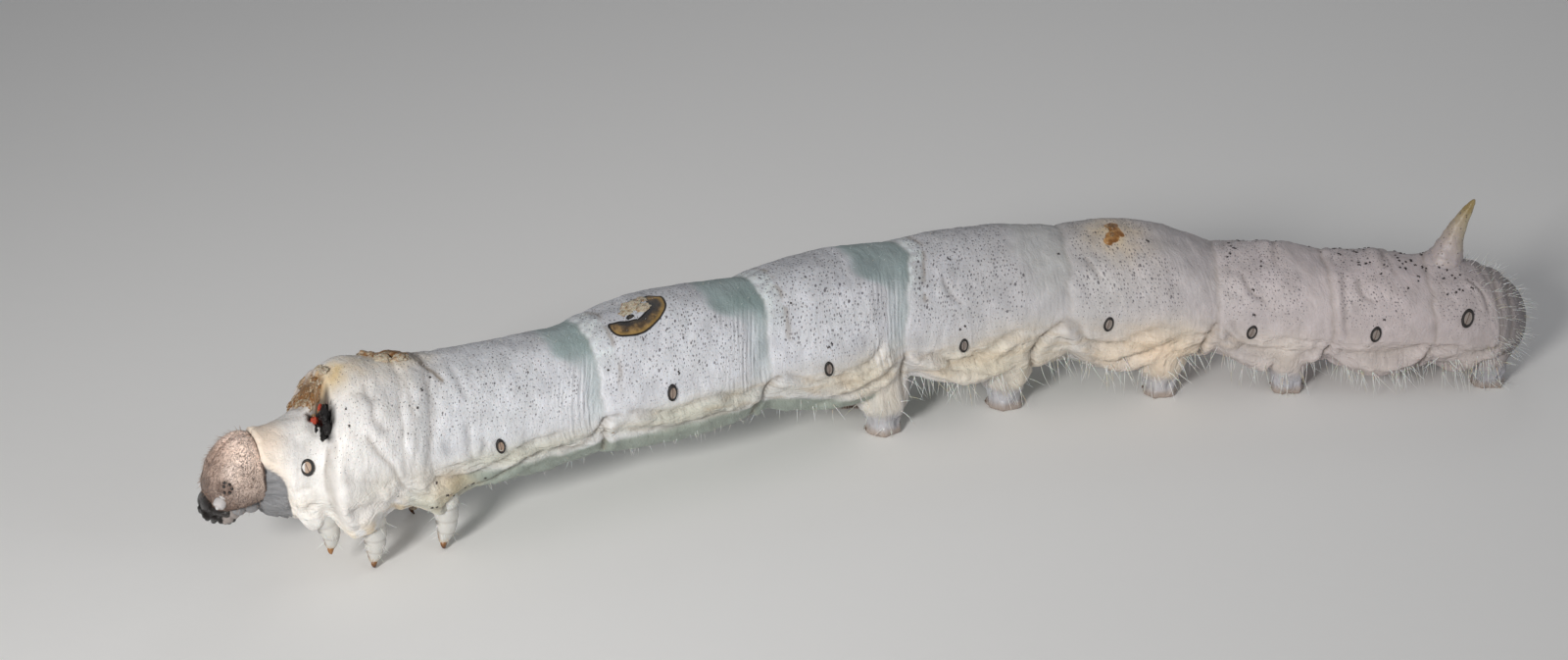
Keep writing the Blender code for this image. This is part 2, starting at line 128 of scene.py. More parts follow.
def spine_frame(along):
    """A place on the axis, and the directions to the left and to the tail there."""
    middle, left = spine_point(np.array(along))
    return middle, left, np.array([-left[1], left[0], 0.0])


# The left foot of the third pair stands 2.3 mm out from the axis at 9.05 mm: that sets where the neck is
CLAW_ALONG, CLAW_STANCE = 9.05, 2.3
NECK = np.zeros(3)
claw_place, claw_left, _ = spine_frame(CLAW_ALONG)
claw_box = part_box("claw_3_left")
NECK[:2] = [
    (claw_box[0][i] + claw_box[1][i]) / 2 / MM - (claw_place + claw_left * CLAW_STANCE)[i] for i in (0, 1)
]


# ---- camera, floor and light ----
# The camera looks down on the left side with a slight roll. Three broad soft lamps and a pale world light
# the animal on a plain floor that curves up behind it.

CAMERA_RISE, CAMERA_ROLL, CAMERA_VIEW = 24.0, 2.687, 30.0
CAMERA_PLACE = Vector((27.843, -136.84, 73.61))

pitch, roll = math.radians(CAMERA_RISE), math.radians(CAMERA_ROLL)
forward = Vector((0.0, math.cos(pitch), -math.sin(pitch)))
upward = Vector((0.0, math.sin(pitch), math.cos(pitch)))
rightward = Vector((1.0, 0.0, 0.0))
camera_right = rightward * math.cos(roll) - upward * math.sin(roll)
camera_up = upward * math.cos(roll) + rightward * math.sin(roll)
camera_data = bpy.data.cameras.new("camera")
camera_data.sensor_width = 36.0
camera_data.angle = math.radians(CAMERA_VIEW)
camera_data.clip_start = 0.01
camera_data.clip_end = 10.0
camera = bpy.data.objects.new("camera", camera_data)
camera.matrix_world = Matrix((camera_right, camera_up, -forward)).transposed().to_4x4()
camera.location = (CAMERA_PLACE + Vector(NECK)) * MM
bpy.context.scene.collection.objects.link(camera)
bpy.context.scene.camera = camera


class Paint:
    """A material with one Principled shader, and short ways to lay nodes before it."""

    def __init__(self, name, colour, roughness, soft=(), **sockets):
        self.material = bpy.data.materials.new(name)
        self.material.use_nodes = True
        self.tree = self.material.node_tree
        self.shader = self.tree.nodes["Principled BSDF"]
        self.plug("Base Color", (*colour, 1.0))
        self.plug("Roughness", roughness)
        for part, value in zip(("Weight", "Scale", "Radius"), soft):
            self.plug("Subsurface " + part, value)
        for socket, value in sockets.items():
            self.plug(socket.replace("_", " "), value)

    def feed(self, node, socket, value):
        """Gives an input of a node a value, or another node's output."""
        if isinstance(value, bpy.types.NodeSocket):
            self.tree.links.new(value, node.inputs[socket])
        else:
            node.inputs[socket].default_value = value

    def plug(self, socket, value):
        self.feed(self.shader, socket, value)

    def node(self, kind, output, inputs=None, **settings):
        """Adds a node with its settings and inputs, and gives one of its outputs."""
        node = self.tree.nodes.new("ShaderNode" + kind)
        for name, value in settings.items():
            setattr(node, name, value)
        for socket, value in (inputs or {}).items():
            self.feed(node, socket, value)
        return node.outputs[output]

    def maths(self, operation, *numbers, **settings):
        """One sum on values or sockets."""
        inputs = dict(enumerate((*numbers, 0.0, 0.0)[:3]))
        return self.node("Math", 0, inputs, operation=operation, **settings)

    def times(self, first, second):
        return self.maths("MULTIPLY", first, second)

    def step(self, value, low, high):
        """0 below one value, 1 above another, and a smooth rise between."""
        inputs = {"Value": value, "From Min": low, "From Max": high}
        return self.node("MapRange", "Result", inputs, interpolation_type="SMOOTHSTEP")

    def mix(self, first, second, share, mode="MIX"):
        colours = [c if isinstance(c, bpy.types.NodeSocket) else (*c, 1.0) for c in (first, second)]
        inputs = {0: share, 6: colours[0], 7: colours[1]}
        return self.node("Mix", 2, inputs, data_type="RGBA", blend_type=mode)

    def coats(self, colour, *coats):
        """Lays colours over a colour, each by its share and the strength of that share."""
        for tint, share, strength in coats:
            colour = self.mix(colour, tint, share if strength == 1.0 else self.times(share, strength))
        return colour

    def layer(self, name, output="Fac"):
        """What a layer of the mesh holds."""
        return self.node("Attribute", output, attribute_name=name)

    def stretch(self, vector, *scale):
        return self.node("Mapping", "Vector", {"Vector": vector, "Scale": scale})

    def noise(self, scale, detail, vector=None, flat=False, **inputs):
        """Cloudy noise from 0 to 1. Without a vector it follows the object's own box."""
        inputs = {"Scale": scale, "Detail": detail, **inputs}
        if vector:
            inputs["Vector"] = vector
        return self.node("TexNoise", "Fac", inputs, noise_dimensions="2D" if flat else "3D")

    def cells(self, vector, scale=1.0, **settings):
        """Net of cells: how far each place is from its cell's middle, and random shares for each cell."""
        away = self.node("TexVoronoi", "Distance", {"Vector": vector, "Scale": scale}, **settings)
        return away, self.node("SeparateColor", 0, {"Color": away.node.outputs["Color"]}).node.outputs

    def bump(self, height, strength, distance, under=None):
        inputs = {"Height": height, "Strength": strength, "Distance": distance}
        if under:
            inputs["Normal"] = under
        return self.node("Bump", "Normal", inputs)

    def grain(self, scale, detail, strength, distance, **inputs):
        """Fine lumps all over the piece. Gives how high each place stands."""
        height = self.noise(scale, detail, **inputs)
        self.plug("Normal", self.bump(height, strength, distance))
        return height


def finish_mesh(name, mesh, paint):
    """An object at the origin for a mesh, shaded smooth and painted."""
    mesh.shade_smooth()
    mesh.materials.append(paint.material)
    obj = bpy.data.objects.new(name, mesh)
    bpy.context.scene.collection.objects.link(obj)
    return obj


def add_object(name, bm, paint):
    """Writes a mesh made in millimetres to an object."""
    bmesh.ops.scale(bm, vec=(MM, MM, MM), verts=bm.verts)
    mesh = bpy.data.meshes.new(name)
    bm.to_mesh(mesh)
    bm.free()
    return finish_mesh(name, mesh, paint)


FLOOR_HALF, FLOOR_BACK, FLOOR_CURVE, FLOOR_STRIPS = 900.0, 260.0, 120.0, 48
paint = Paint("floor paper", (0.92, 0.91, 0.89), 0.75)
paint.grain(900.0, 4.0, 0.05, 0.0002)
floor_bm = bmesh.new()
bmesh.ops.create_grid(floor_bm, x_segments=1, y_segments=FLOOR_STRIPS, size=FLOOR_HALF)
for vert in floor_bm.verts:
    past = vert.co.y - FLOOR_BACK
    if past > 0.0:
        swing = min(past / FLOOR_CURVE, math.pi / 2)
        vert.co.y = FLOOR_BACK + FLOOR_CURVE * math.sin(swing)
        vert.co.z = FLOOR_CURVE * (1.0 - math.cos(swing)) + max(past - FLOOR_CURVE * math.pi / 2, 0.0)
add_object("floor", floor_bm, paint)

LAMP_SPREAD = 76.0


def add_lamp(name, place, target, size, power, colour):
    lamp = bpy.data.lights.new(name, "AREA")
    lamp.shape = "DISK"
    lamp.size = size * MM
    lamp.spread = math.radians(LAMP_SPREAD)
    lamp.energy = power
    lamp.color = colour
    obj = bpy.data.objects.new(name, lamp)
    obj.location = Vector(place) * MM
    obj.rotation_euler = (Vector(target) - Vector(place)).to_track_quat("-Z", "Y").to_euler()
    bpy.context.scene.collection.objects.link(obj)


add_lamp("key lamp", (-95.0, -185.0, 96.0), (-18.0, 0.0, 4.0), 55.0, 0.066, (1.0, 0.99, 0.97))
add_lamp("fill lamp", (190.0, -150.0, 110.0), (0.0, 0.0, 5.0), 120.0, 0.012, (0.93, 0.96, 1.0))
add_lamp("rear lamp", (40.0, 200.0, 150.0), (0.0, 0.0, 5.0), 110.0, 0.006, (0.97, 0.98, 1.0))
world = bpy.data.worlds.new("studio")
bpy.context.scene.world = world
world.use_nodes = True
world.node_tree.nodes["Background"].inputs["Color"].default_value = (0.93, 0.95, 1.0, 1.0)
world.node_tree.nodes["Background"].inputs["Strength"].default_value = 0.21
bpy.context.scene.view_settings.view_transform = "Standard"


# ---- skin ----
# One soft, satin skin covers the thirteen rings, the prolegs and the neck. It is a tube wrapped round the
# spine, with the ring joints, the side folds, the wrinkles and the healed wounds worked into it.

# Where each joint crosses the back and the sides, from the first joint of the thorax to the last one
JOINTS_ON_BACK = np.array([3.9, 7.8, 9.6, 18.5, 29.0, 38.5, 48.1, 56.9, 63.2, 69.0, 72.9])
JOINTS_ON_SIDE = np.array([4.3, 8.3, 9.8, 19.7, 29.6, 38.1, 47.3, 56.0, 62.5, 68.3, 72.8])
FRONT_BOW, REAR_BOW, BOW_FADE = -1.5, 1.1, 3.0
BOW_TURN_START, BOW_TURN_END = 41.0, 50.0
BELLY_FLATTENING, BELLY_SPREAD = 0.12, 38.0
SWELL_SHARPNESS, RADIUS_EASE, FINE_STEP, EASE_STEPS = 0.8, 0.3, 0.02, 30
TAIL_TURN = 72.6
MEAN_RADIUS = 4.0
# Millimetres of skin for each degree round the body
ARC = math.radians(1.0) * MEAN_RADIUS

fine_places = np.arange(NECK_START, TAIL_START + FINE_STEP / 2, FINE_STEP)
fine_ring = np.clip(np.searchsorted(STARTS, fine_places, side="right") - 1, 0, len(LENGTHS) - 1)
fine_share = np.clip((fine_places - STARTS[fine_ring]) / LENGTHS[fine_ring], 0.0, 1.0)
straight = FRONTS[fine_ring] + (REARS[fine_ring] - FRONTS[fine_ring]) * fine_share
swell = MIDDLES[fine_ring] - (FRONTS[fine_ring] + REARS[fine_ring]) / 2
ease = bell(np.arange(-EASE_STEPS, EASE_STEPS + 1) * FINE_STEP, RADIUS_EASE)
swollen = straight + swell * np.sin(np.pi * fine_share) ** SWELL_SHARPNESS
eased = np.pad(swollen, EASE_STEPS, mode="edge")
fine_radius = np.convolve(eased, ease / ease.sum(), mode="valid")


def joint_bow(along):
    turn = smooth((along - BOW_TURN_START) / (BOW_TURN_END - BOW_TURN_START))
    bow = FRONT_BOW + (REAR_BOW - FRONT_BOW) * turn
    return bow * rise(along, NECK_START, BOW_FADE) * fall(along, TAIL_START, BOW_FADE)


def joint_places(angle):
    """Where the joints lie at each angle: one row for each place, one column for each joint."""
    side = np.sin(np.radians(angle))[:, None] ** 2
    return JOINTS_ON_BACK + (JOINTS_ON_SIDE - JOINTS_ON_BACK) * side


def ring_share(along, angle):
    """The ring that each place lies on, counted from 0, and how far along that ring it is."""
    ends = [np.full((len(along), 1), end) for end in (NECK_START, TAIL_START)]
    edges = np.hstack([ends[0], joint_places(angle), ends[1]])
    ring = np.clip((edges <= along[:, None]).sum(axis=1) - 1, 0, edges.shape[1] - 2)
    rows = np.arange(len(along))
    share = (along - edges[rows, ring]) / (edges[rows, ring + 1] - edges[rows, ring])
    return ring, np.clip(share, 0.0, 1.0)


def ripple(along, angle, along_size, around_size, seed):
    """Soft noise from -1 to 1 with its own grain along and round the body, and no seam under the belly."""
    turn = np.radians(angle)
    round_scale = MEAN_RADIUS / around_size
    places = np.stack([along / along_size, np.cos(turn) * round_scale, np.sin(turn) * round_scale], axis=-1)
    offset = Vector((seed * 17.3, seed * 5.1, seed * 3.7))
    return np.array([noise.noise(Vector(place) + offset) for place in places])


def line_through(points):
    """A smooth line through given places (along, angle), in millimetres of skin."""
    knots = np.array(points, float) * (1.0, ARC)
    padded = np.vstack([2 * knots[0] - knots[1], knots, 2 * knots[-1] - knots[-2]])
    line = []
    for a, b, c, d in zip(padded, padded[1:], padded[2:], padded[3:]):
        for t in np.arange(0.0, 1.0, 0.2):
            curve = (3 * b - a - 3 * c + d) * t**3 + (2 * a - 5 * b + 4 * c - d) * t**2 + (c - a) * t + 2 * b
            line.append(0.5 * curve)
    return np.array(line + [knots[-1]])


def line_distance(along, angle, points, reach):
    """Which places lie within reach of a line, how far on its belly side they are, and how far down it."""
    line = line_through(points)
    places = np.stack([along, angle * ARC], axis=-1)
    low, high = line.min(axis=0) - reach, line.max(axis=0) + reach
    near = np.flatnonzero(((places > low) & (places < high)).all(axis=1))
    starts, runs = line[:-1], np.diff(line, axis=0)
    to_place = places[near][:, None, :] - starts
    share = np.clip((to_place * runs).sum(-1) / (runs**2).sum(-1), 0.0, 1.0)
    gap = to_place - share[..., None] * runs
    closest = np.argmin((gap**2).sum(-1), axis=1)
    rows = np.arange(len(near))
    away = np.sqrt((gap[rows, closest] ** 2).sum(-1))
    side = np.sign(runs[closest, 0] * gap[rows, closest, 1] - runs[closest, 1] * gap[rows, closest, 0])
    return near, away * side, (closest + share[rows, closest]) / len(runs)


# Creases: how deep and how wide, how high and how broad the lip beside them stands (a negative
# lip is on the back's side), how much painted shade darkens their bottom, then their places along
# and round the body
CREASES = (
    # neck and first ring
    (0.2, 0.14, 0.06, 0.3, 0.5, ((3.0, 8), (3.2, 27), (3.6, 43))),
    (
        0.22, 0.16, -0.1, 0.3, 0.5,
        ((4.3, 51), (4.5, 62), (4.3, 76), (4.4, 90), (4.3, 106), (4.2, 120), (4.1, 132))
    ),
    (0.2, 0.15, 0.16, 0.4, 0.3, ((1.3, 84), (2.2, 93), (2.9, 91), (3.7, 88))),
    (0.16, 0.14, 0.1, 0.25, 0.3, ((1.9, 112), (2.4, 118), (3.0, 116), (3.6, 108))),
    (0.22, 0.14, 0.1, 0.25, 0.4, ((1.4, 128), (1.8, 138), (1.7, 150))),
    # second ring
    (0.13, 0.13, 0.08, 0.3, 0.4, ((5.2, 31), (6.0, 36), (6.8, 44))),
    (0.14, 0.13, 0.07, 0.3, 0.5, ((6.0, 26), (6.1, 34), (6.5, 46), (6.6, 55), (7.1, 64), (7.7, 68))),
    (0.17, 0.13, -0.1, 0.3, 0.7, ((6.2, 64), (6.4, 69), (7.0, 82), (7.6, 95), (7.9, 114), (8.1, 120))),
    (0.16, 0.18, 0.14, 0.4, 0.2, ((4.9, 85), (5.9, 95), (7.0, 106), (7.6, 108))),
    (0.14, 0.14, 0.08, 0.25, 0.2, ((4.7, 112), (5.4, 118), (6.2, 119), (7.2, 125))),
    (0.24, 0.14, 0.12, 0.25, 0.5, ((3.9, 134), (4.4, 142), (5.2, 146), (6.0, 142), (6.8, 132))),
    # third ring and the joint behind it
    (0.07, 0.15, -0.05, 0.35, 0.5, ((7.6, 8), (8.2, 28), (8.6, 45), (8.8, 57), (9.2, 64))),
    (
        0.09, 0.15, -0.07, 0.4, 0.5,
        ((9.2, 12), (9.4, 31), (9.9, 49), (10.0, 63), (9.9, 79), (9.5, 98), (9.2, 110))
    ),
    (0.05, 0.13, 0.05, 0.3, 0.3, ((8.9, 66), (9.0, 81), (8.7, 96), (8.4, 110))),
    (0.14, 0.13, 0.08, 0.25, 0.4, ((8.1, 118), (8.5, 124), (9.1, 122), (9.6, 115))),
    (0.24, 0.14, 0.12, 0.25, 0.5, ((7.5, 134), (8.0, 142), (9.0, 146), (10.0, 146), (10.8, 138))),
    (0.14, 0.08, 0.03, 0.2, 1.5, ((9.4, -16), (9.5, 11), (10.1, 26), (10.5, 35))),
    # first to third ring of the abdomen
    (0.08, 0.15, 0.06, 0.3, 0.2, ((10.8, 16), (11.4, 39), (11.9, 54))),
    (0.09, 0.15, 0.06, 0.3, 0.3, ((11.9, 70), (12.0, 82), (12.0, 101), (12.1, 110))),
    (0.1, 0.12, 0.05, 0.22, 0.3, ((12.6, 84), (12.9, 92), (12.5, 101))),
    (
        0.22, 0.15, 0.18, 0.42, 0.5,
        ((9.3, 113), (10.6, 118), (11.8, 121), (13.4, 113), (14.9, 102), (16.2, 98), (18.7, 100))
    ),
    (
        0.22, 0.13, 0.14, 0.35, 0.8,
        ((8.7, 135), (9.9, 139), (11.2, 140), (12.7, 131), (13.9, 122), (15.3, 113), (16.5, 111))
    ),
    (0.2, 0.12, 0.1, 0.3, 0.8, ((16.5, 111), (17.6, 118), (18.8, 114), (19.8, 98), (20.9, 94))),
    (0.24, 0.12, -0.12, 0.3, 1.0, ((20.2, 95), (19.8, 99), (19.6, 112), (19.1, 142))),
    (
        0.2, 0.15, 0.18, 0.42, 0.5,
        ((20.9, 94), (21.8, 96), (23.6, 105), (25.3, 100), (26.4, 100), (27.7, 107), (29.1, 101))
    ),
    (0.15, 0.12, 0.12, 0.3, 0.6, ((21.8, 116), (23.4, 121), (25.2, 118), (27.0, 118), (28.4, 112))),
    (0.24, 0.12, -0.12, 0.3, 1.0, ((30.4, 96), (29.8, 101), (29.0, 115), (28.2, 133), (28.0, 146))),
    (
        0.22, 0.16, 0.24, 0.45, 0.4,
        ((30.3, 94), (31.4, 102), (32.5, 106), (34.4, 104), (35.9, 97), (36.6, 84))
    ),
    (0.15, 0.12, 0.12, 0.25, 0.3, ((31.3, 117), (32.8, 115), (34.4, 110), (36.0, 104), (37.4, 92))),
    (0.15, 0.12, 0.12, 0.25, 0.3, ((31.8, 131), (33.0, 126), (34.4, 121), (36.4, 117), (37.6, 105))),
    # fourth and fifth ring
    (0.28, 0.13, -0.12, 0.3, 1.0, ((38.2, 100), (37.9, 112), (37.6, 128), (37.4, 145))),
    (
        0.26, 0.15, 0.34, 0.45, 0.5,
        ((38.1, 102), (40.0, 106), (41.1, 114), (42.6, 112), (43.6, 105), (44.4, 98), (45.8, 92))
    ),
    (
        0.18, 0.13, 0.2, 0.4, 0.4,
        ((38.6, 117), (40.5, 118), (41.8, 121), (43.0, 119), (44.4, 110), (45.6, 100))
    ),
    (0.3, 0.14, -0.14, 0.3, 1.0, ((47.2, 90), (46.6, 97), (45.9, 108), (45.5, 119), (45.6, 140))),
    (0.12, 0.13, 0.06, 0.25, 0.4, ((40.5, 44), (40.7, 50), (41.2, 60), (42.0, 69))),
    (
        0.26, 0.15, 0.34, 0.45, 0.5,
        ((46.8, 90), (47.7, 94), (48.1, 106), (49.1, 111), (50.1, 109), (51.6, 101), (54.0, 96))
    ),
    (0.18, 0.13, 0.2, 0.4, 0.4, ((48.0, 118), (49.4, 124), (51.0, 122), (53.0, 112), (55.2, 106))),
    (0.12, 0.13, 0.06, 0.25, 0.4, ((48.8, 38), (49.0, 45), (49.3, 58))),
    # sixth to tenth ring
    (0.3, 0.14, -0.12, 0.3, 0.9, ((56.0, 92), (55.6, 104), (55.4, 120), (55.5, 142))),
    (0.24, 0.15, 0.32, 0.45, 0.4, ((56.1, 94), (57.4, 113), (59.0, 121), (61.1, 120), (62.1, 112))),
    (0.12, 0.12, 0.1, 0.25, 0.3, ((56.8, 86), (57.0, 98), (57.6, 108))),
    (0.12, 0.13, 0.07, 0.25, 0.4, ((58.0, 40), (58.0, 47), (58.2, 60), (59.0, 68))),
    (0.07, 0.14, 0.04, 0.3, 0.3, ((60.2, -30), (60.4, -9), (60.5, 16), (60.2, 26))),
    (0.12, 0.12, 0.1, 0.25, 0.3, ((64.0, 28), (63.7, 45), (63.4, 62), (63.2, 86), (63.5, 104))),
    (0.1, 0.12, 0.06, 0.22, 0.4, ((64.7, 34), (64.5, 48), (64.6, 56), (65.2, 61))),
    (0.07, 0.13, 0.05, 0.3, 0.3, ((66.4, -30), (66.5, -10), (66.9, 12), (66.9, 35))),
    (0.3, 0.15, -0.12, 0.3, 0.9, ((62.6, 112), (62.3, 122), (62.2, 140))),
    (0.26, 0.15, 0.32, 0.45, 0.4, ((62.7, 116), (64.4, 114), (65.7, 116), (67.0, 111), (68.2, 104))),
    (0.3, 0.15, -0.12, 0.3, 0.9, ((68.3, 108), (68.0, 120), (68.0, 140))),
    (0.22, 0.15, 0.26, 0.4, 0.4, ((68.2, 112), (69.3, 105), (70.8, 112), (72.1, 106), (72.9, 100))),
    (0.18, 0.14, 0.18, 0.35, 0.3, ((69.1, 130), (71.2, 133), (72.4, 128), (73.2, 120))),
    (
        0.08, 0.13, 0.05, 0.25, 0.4,
        ((73.8, -70), (73.7, -30), (73.8, 0), (73.8, 41), (73.9, 75), (73.6, 110))
    ),
    (0.06, 0.14, 0.05, 0.3, 0.3, ((72.2, -20), (72.4, 20), (72.9, 50), (73.1, 80), (72.8, 104))),
    (0.12, 0.12, 0.08, 0.22, 0.3, ((70.9, 26), (71.6, 38), (71.8, 52), (71.6, 66))),
)
MIRROR_WANDER = 0.35


def crease_sides(along, angle):
    """The places as the creases see them: on the left as they are, on the right mirrored and shifted."""
    yield along, angle
    drift = MIRROR_WANDER * ripple(along, angle, 6.0, 4.0, 31)
    yield along + drift, -angle + drift / ARC


# Joints: how deep the groove is, how high the collar behind it, how far back that reaches, how long the
# stretched band in front of it is on the back and on the side, how green that is, how strongly it is lined
JOINTS = (
    (0.24, 0.03, 0.5, 0.0, 0.0, 0.0, 0.0),
    (0.05, 0.0, 0.5, 0.0, 0.0, 0.0, 0.0),
    (0.04, 0.0, 0.5, 0.0, 0.0, 0.0, 0.0),
    (0.05, 0.0, 1.15, 2.3, 1.1, 0.85, 1.0),
    (0.06, 0.0, 1.1, 3.4, 1.3, 1.0, 1.0),
    (0.07, 0.01, 1.0, 3.8, 1.4, 0.9, 0.8),
    (0.08, 0.02, 0.95, 3.3, 2.0, 0.25, 0.35),
    (0.07, 0.01, 0.7, 3.4, 2.1, 0.05, 0.25),
    (0.08, 0.01, 0.6, 2.1, 1.4, 0.0, 0.1),
    (0.08, 0.01, 0.6, 1.9, 1.3, 0.0, 0.1),
    (0.08, 0.01, 0.45, 0.3, 0.3, 0.0, 0.0),
)
BAND_TURN, BAND_SWEEP = 26.0, 26.0
GROOVE_WIDTH, COLLAR_WAVE = 0.12, 0.22

# The mouth of the deep wound between the first two rings: its line over the back, and half its width
WOUND_LINE = ((3.42, 6), (3.6, 14), (3.86, 26), (4.15, 40), (4.32, 54))
WOUND_SHARES, WOUND_HALVES, WOUND_DEPTH = (0.0, 0.2, 0.45, 0.75, 1.0), (0.4, 0.54, 0.4, 0.25, 0.03), 1.0

# Swellings: place along the body and round it, height, spread along and round
SWELLINGS = (
    (2.6, 137, 0.95, 1.0, 19), (5.4, 140, 1.1, 1.2, 18), (9.3, 141, 1.15, 1.25, 18),
    (4.3, 136, 0.25, 0.5, 12), (7.6, 136, 0.3, 0.6, 12), (0.7, 146, 0.16, 0.4, 12),
    (3.3, 126, 0.16, 0.4, 9), (6.6, 128, 0.16, 0.5, 9), (10.4, 130, 0.14, 0.5, 9), (5.3, 12, 0.16, 0.8, 24),
    (7.0, 52, 0.12, 0.6, 9), (8.2, -8, 0.16, 0.6, 14), (2.0, 60, 0.1, 1.0, 30), (0.1, 0, 0.4, 0.9, 34),
    (69.9, 0, 0.8, 1.15, 17), (22.0, 14, 0.14, 1.6, 22), (41.3, 46, 0.08, 1.3, 12),
    (49.6, 44, 0.08, 1.3, 12), (58.8, 44, 0.09, 1.2, 13), (65.4, 44, 0.08, 1.0, 13),
    (51.2, 12, 0.1, 1.3, 16), (60.8, 0, 0.1, 1.2, 26), (66.4, 0, 0.1, 1.2, 26),
)

FOLD_SPREAD, FOLD_PLACES = 14.0, (8.0, 31.0, 39.0)
FOLD_ANGLES, SLACK_ENDS = (141.0, 139.0, 131.0), (121.0, 125.0, 148.0)


def joint_zones(along, angle):
    """For each joint: how far behind it each place lies, its band's length there, and its other numbers."""
    wave = COLLAR_WAVE * ripple(along, angle, 3.0, 1.1, 5)
    on_side = rise(np.abs(angle), BAND_TURN, BAND_SWEEP)
    for place, (depth, collar, reach, on_back, beside, green, rings) in zip(joint_places(angle).T, JOINTS):
        band = on_back + (beside - on_back) * on_side
        yield along - place - wave, band, depth, collar, reach, green, rings


def wound_mouth(along, angle):
    """How far inside the edge of the deep wound each place lies, in millimetres, negative outside."""
    inside = np.full(len(along), -9.0)
    near, side, share = line_distance(along, angle, WOUND_LINE, 2.5)
    inside[near] = np.interp(share, WOUND_SHARES, WOUND_HALVES) - np.abs(side)
    inside[near] += 0.1 * ripple(along[near], angle[near], 0.5, 0.5, 3)
    return inside


def ridges(along, angle, along_size, around_size, seed):
    """Crumpled noise, with sharp crests and round hollows."""
    return 0.8 - 3.0 * np.abs(ripple(along, angle, along_size, around_size, seed))


def slackness(along, angle):
    """How loose and crumpled the skin of the side folds is, from 0 to 1."""
    turned = np.abs(angle)
    below = smooth((np.interp(along, FOLD_PLACES, SLACK_ENDS) - turned) / 9.0)
    return rise(turned, 97.0, 9.0) * below * rise(along, 8.5, 3.0)


def wound_crust(along, angle):
    """How much of the dry, waxy scar over the back, above the deep wound, covers each place."""
    return fall(angle, 12.0, 14.0) * rise(angle, -58.0, 16.0) * bell(along - 3.8, 0.36)


def relief(along, angle):
    """How far the skin stands out from the plain tube, in millimetres."""
    ring, share = ring_share(along, angle)
    turned = np.abs(angle)
    from_fold = turned - np.interp(along, FOLD_PLACES, FOLD_ANGLES)
    height = FOLDS[ring] * np.sin(np.pi * share) ** 0.8 * bell(from_fold, FOLD_SPREAD)
    height += 0.14 * bell(turned - 144.0, 16.0) * rise(along, 10.0, 4.0) * fall(along, 36.0, 6.0)
    for spot, turn, rise_by, spread, spread_round in SWELLINGS:
        height += rise_by * bell(along - spot, spread) * bell(turned - turn, spread_round)
    calm = 1.0 - 0.5 * fall(along, 11.5, 2.0) * fall(turned, 118.0, 14.0)
    for place, turn in crease_sides(along, angle):
        for depth, width, lip, lip_width, dark, points in CREASES:
            near, side, down = line_distance(place, turn, points, 3 * width + 3 * lip_width)
            fade = rise(down, 0.0, 0.12) * fall(down, 1.0, 0.12) * calm[near]
            lip_side = side * math.copysign(1.0, lip) - width - lip_width
            height[near] += fade * (abs(lip) * bell(lip_side, lip_width) - depth * bell(side, width))
    open_side = fall(turned, 128.0, 26.0)
    second_wave = 0.5 * COLLAR_WAVE * ripple(along, angle, 2.0, 0.6, 6)
    for past, band, depth, collar, collar_length, green, rings in joint_zones(along, angle):
        height -= depth * bell(past, GROOVE_WIDTH) * (0.35 + 0.65 * open_side)
        height += collar * bell(past - collar_length * 0.55, collar_length * 0.4) * open_side
        second = past - collar_length * 1.05 - second_wave
        again, pinch = (0.8, 0.07) if green > 0.5 else (0.3, 0.03)
        height -= again * depth * bell(second, 0.11) * open_side * fall(turned, 80.0, 30.0)
        height -= pinch * bell(past + band * 0.5, band * 0.5 + 0.05) * open_side
    lumpy = 0.72 + 0.03 * rise(along, 10.0, 6.0) + 0.35 * rise(turned, 92.0, 16.0)
    for size, along_size, around_size, seed in (
        (0.1, 1.3, 1.6, 7), (0.05, 0.45, 0.9, 8), (0.028, 0.24, 0.5, 9)
    ):
        height += size * lumpy * ripple(along, angle, along_size, around_size, seed)
    crumpled = rise(turned, 104.0, 14.0) * fall(along, 12.0, 2.0)
    crumples = 0.2 * ripple(along, angle, 0.9, 0.9, 18) + 0.04 * ridges(along, angle, 0.7, 0.6, 38)
    height += crumpled * crumples
    slack = slackness(along, angle)
    creased = 0.26 * ripple(along, angle, 2.8, 0.5, 35) + 0.05 * ridges(along, angle, 0.8, 0.5, 36)
    height += slack * creased
    crusted = wound_crust(along, angle)
    height += 0.3 * crusted + 0.16 * crusted * ridges(along, angle, 0.45, 0.45, 19)
    height += 0.06 * rise(turned, 138.0, 12.0) * ripple(along, angle, 0.35, 2.4, 10)
    height -= WOUND_DEPTH * rise(wound_mouth(along, angle), -0.1, 0.3)
    return height


RIM_ON_BACK, RIM_ON_SIDE, RIM_TURN, RIM_SWEEP, RIM_EASE = -0.1, 1.35, 38.0, 58.0, 0.16
NECK_PLACES, NECK_RADII = (-0.95, -0.9, -0.6, 0.0, 0.5, 1.4), (0.0, 1.0, 1.35, 1.5, 1.75, 2.2)


def rim_along(turned):
    """How far back the front rim of the first ring lies."""
    return RIM_ON_BACK + (RIM_ON_SIDE - RIM_ON_BACK) * rise(turned, RIM_TURN, RIM_SWEEP)


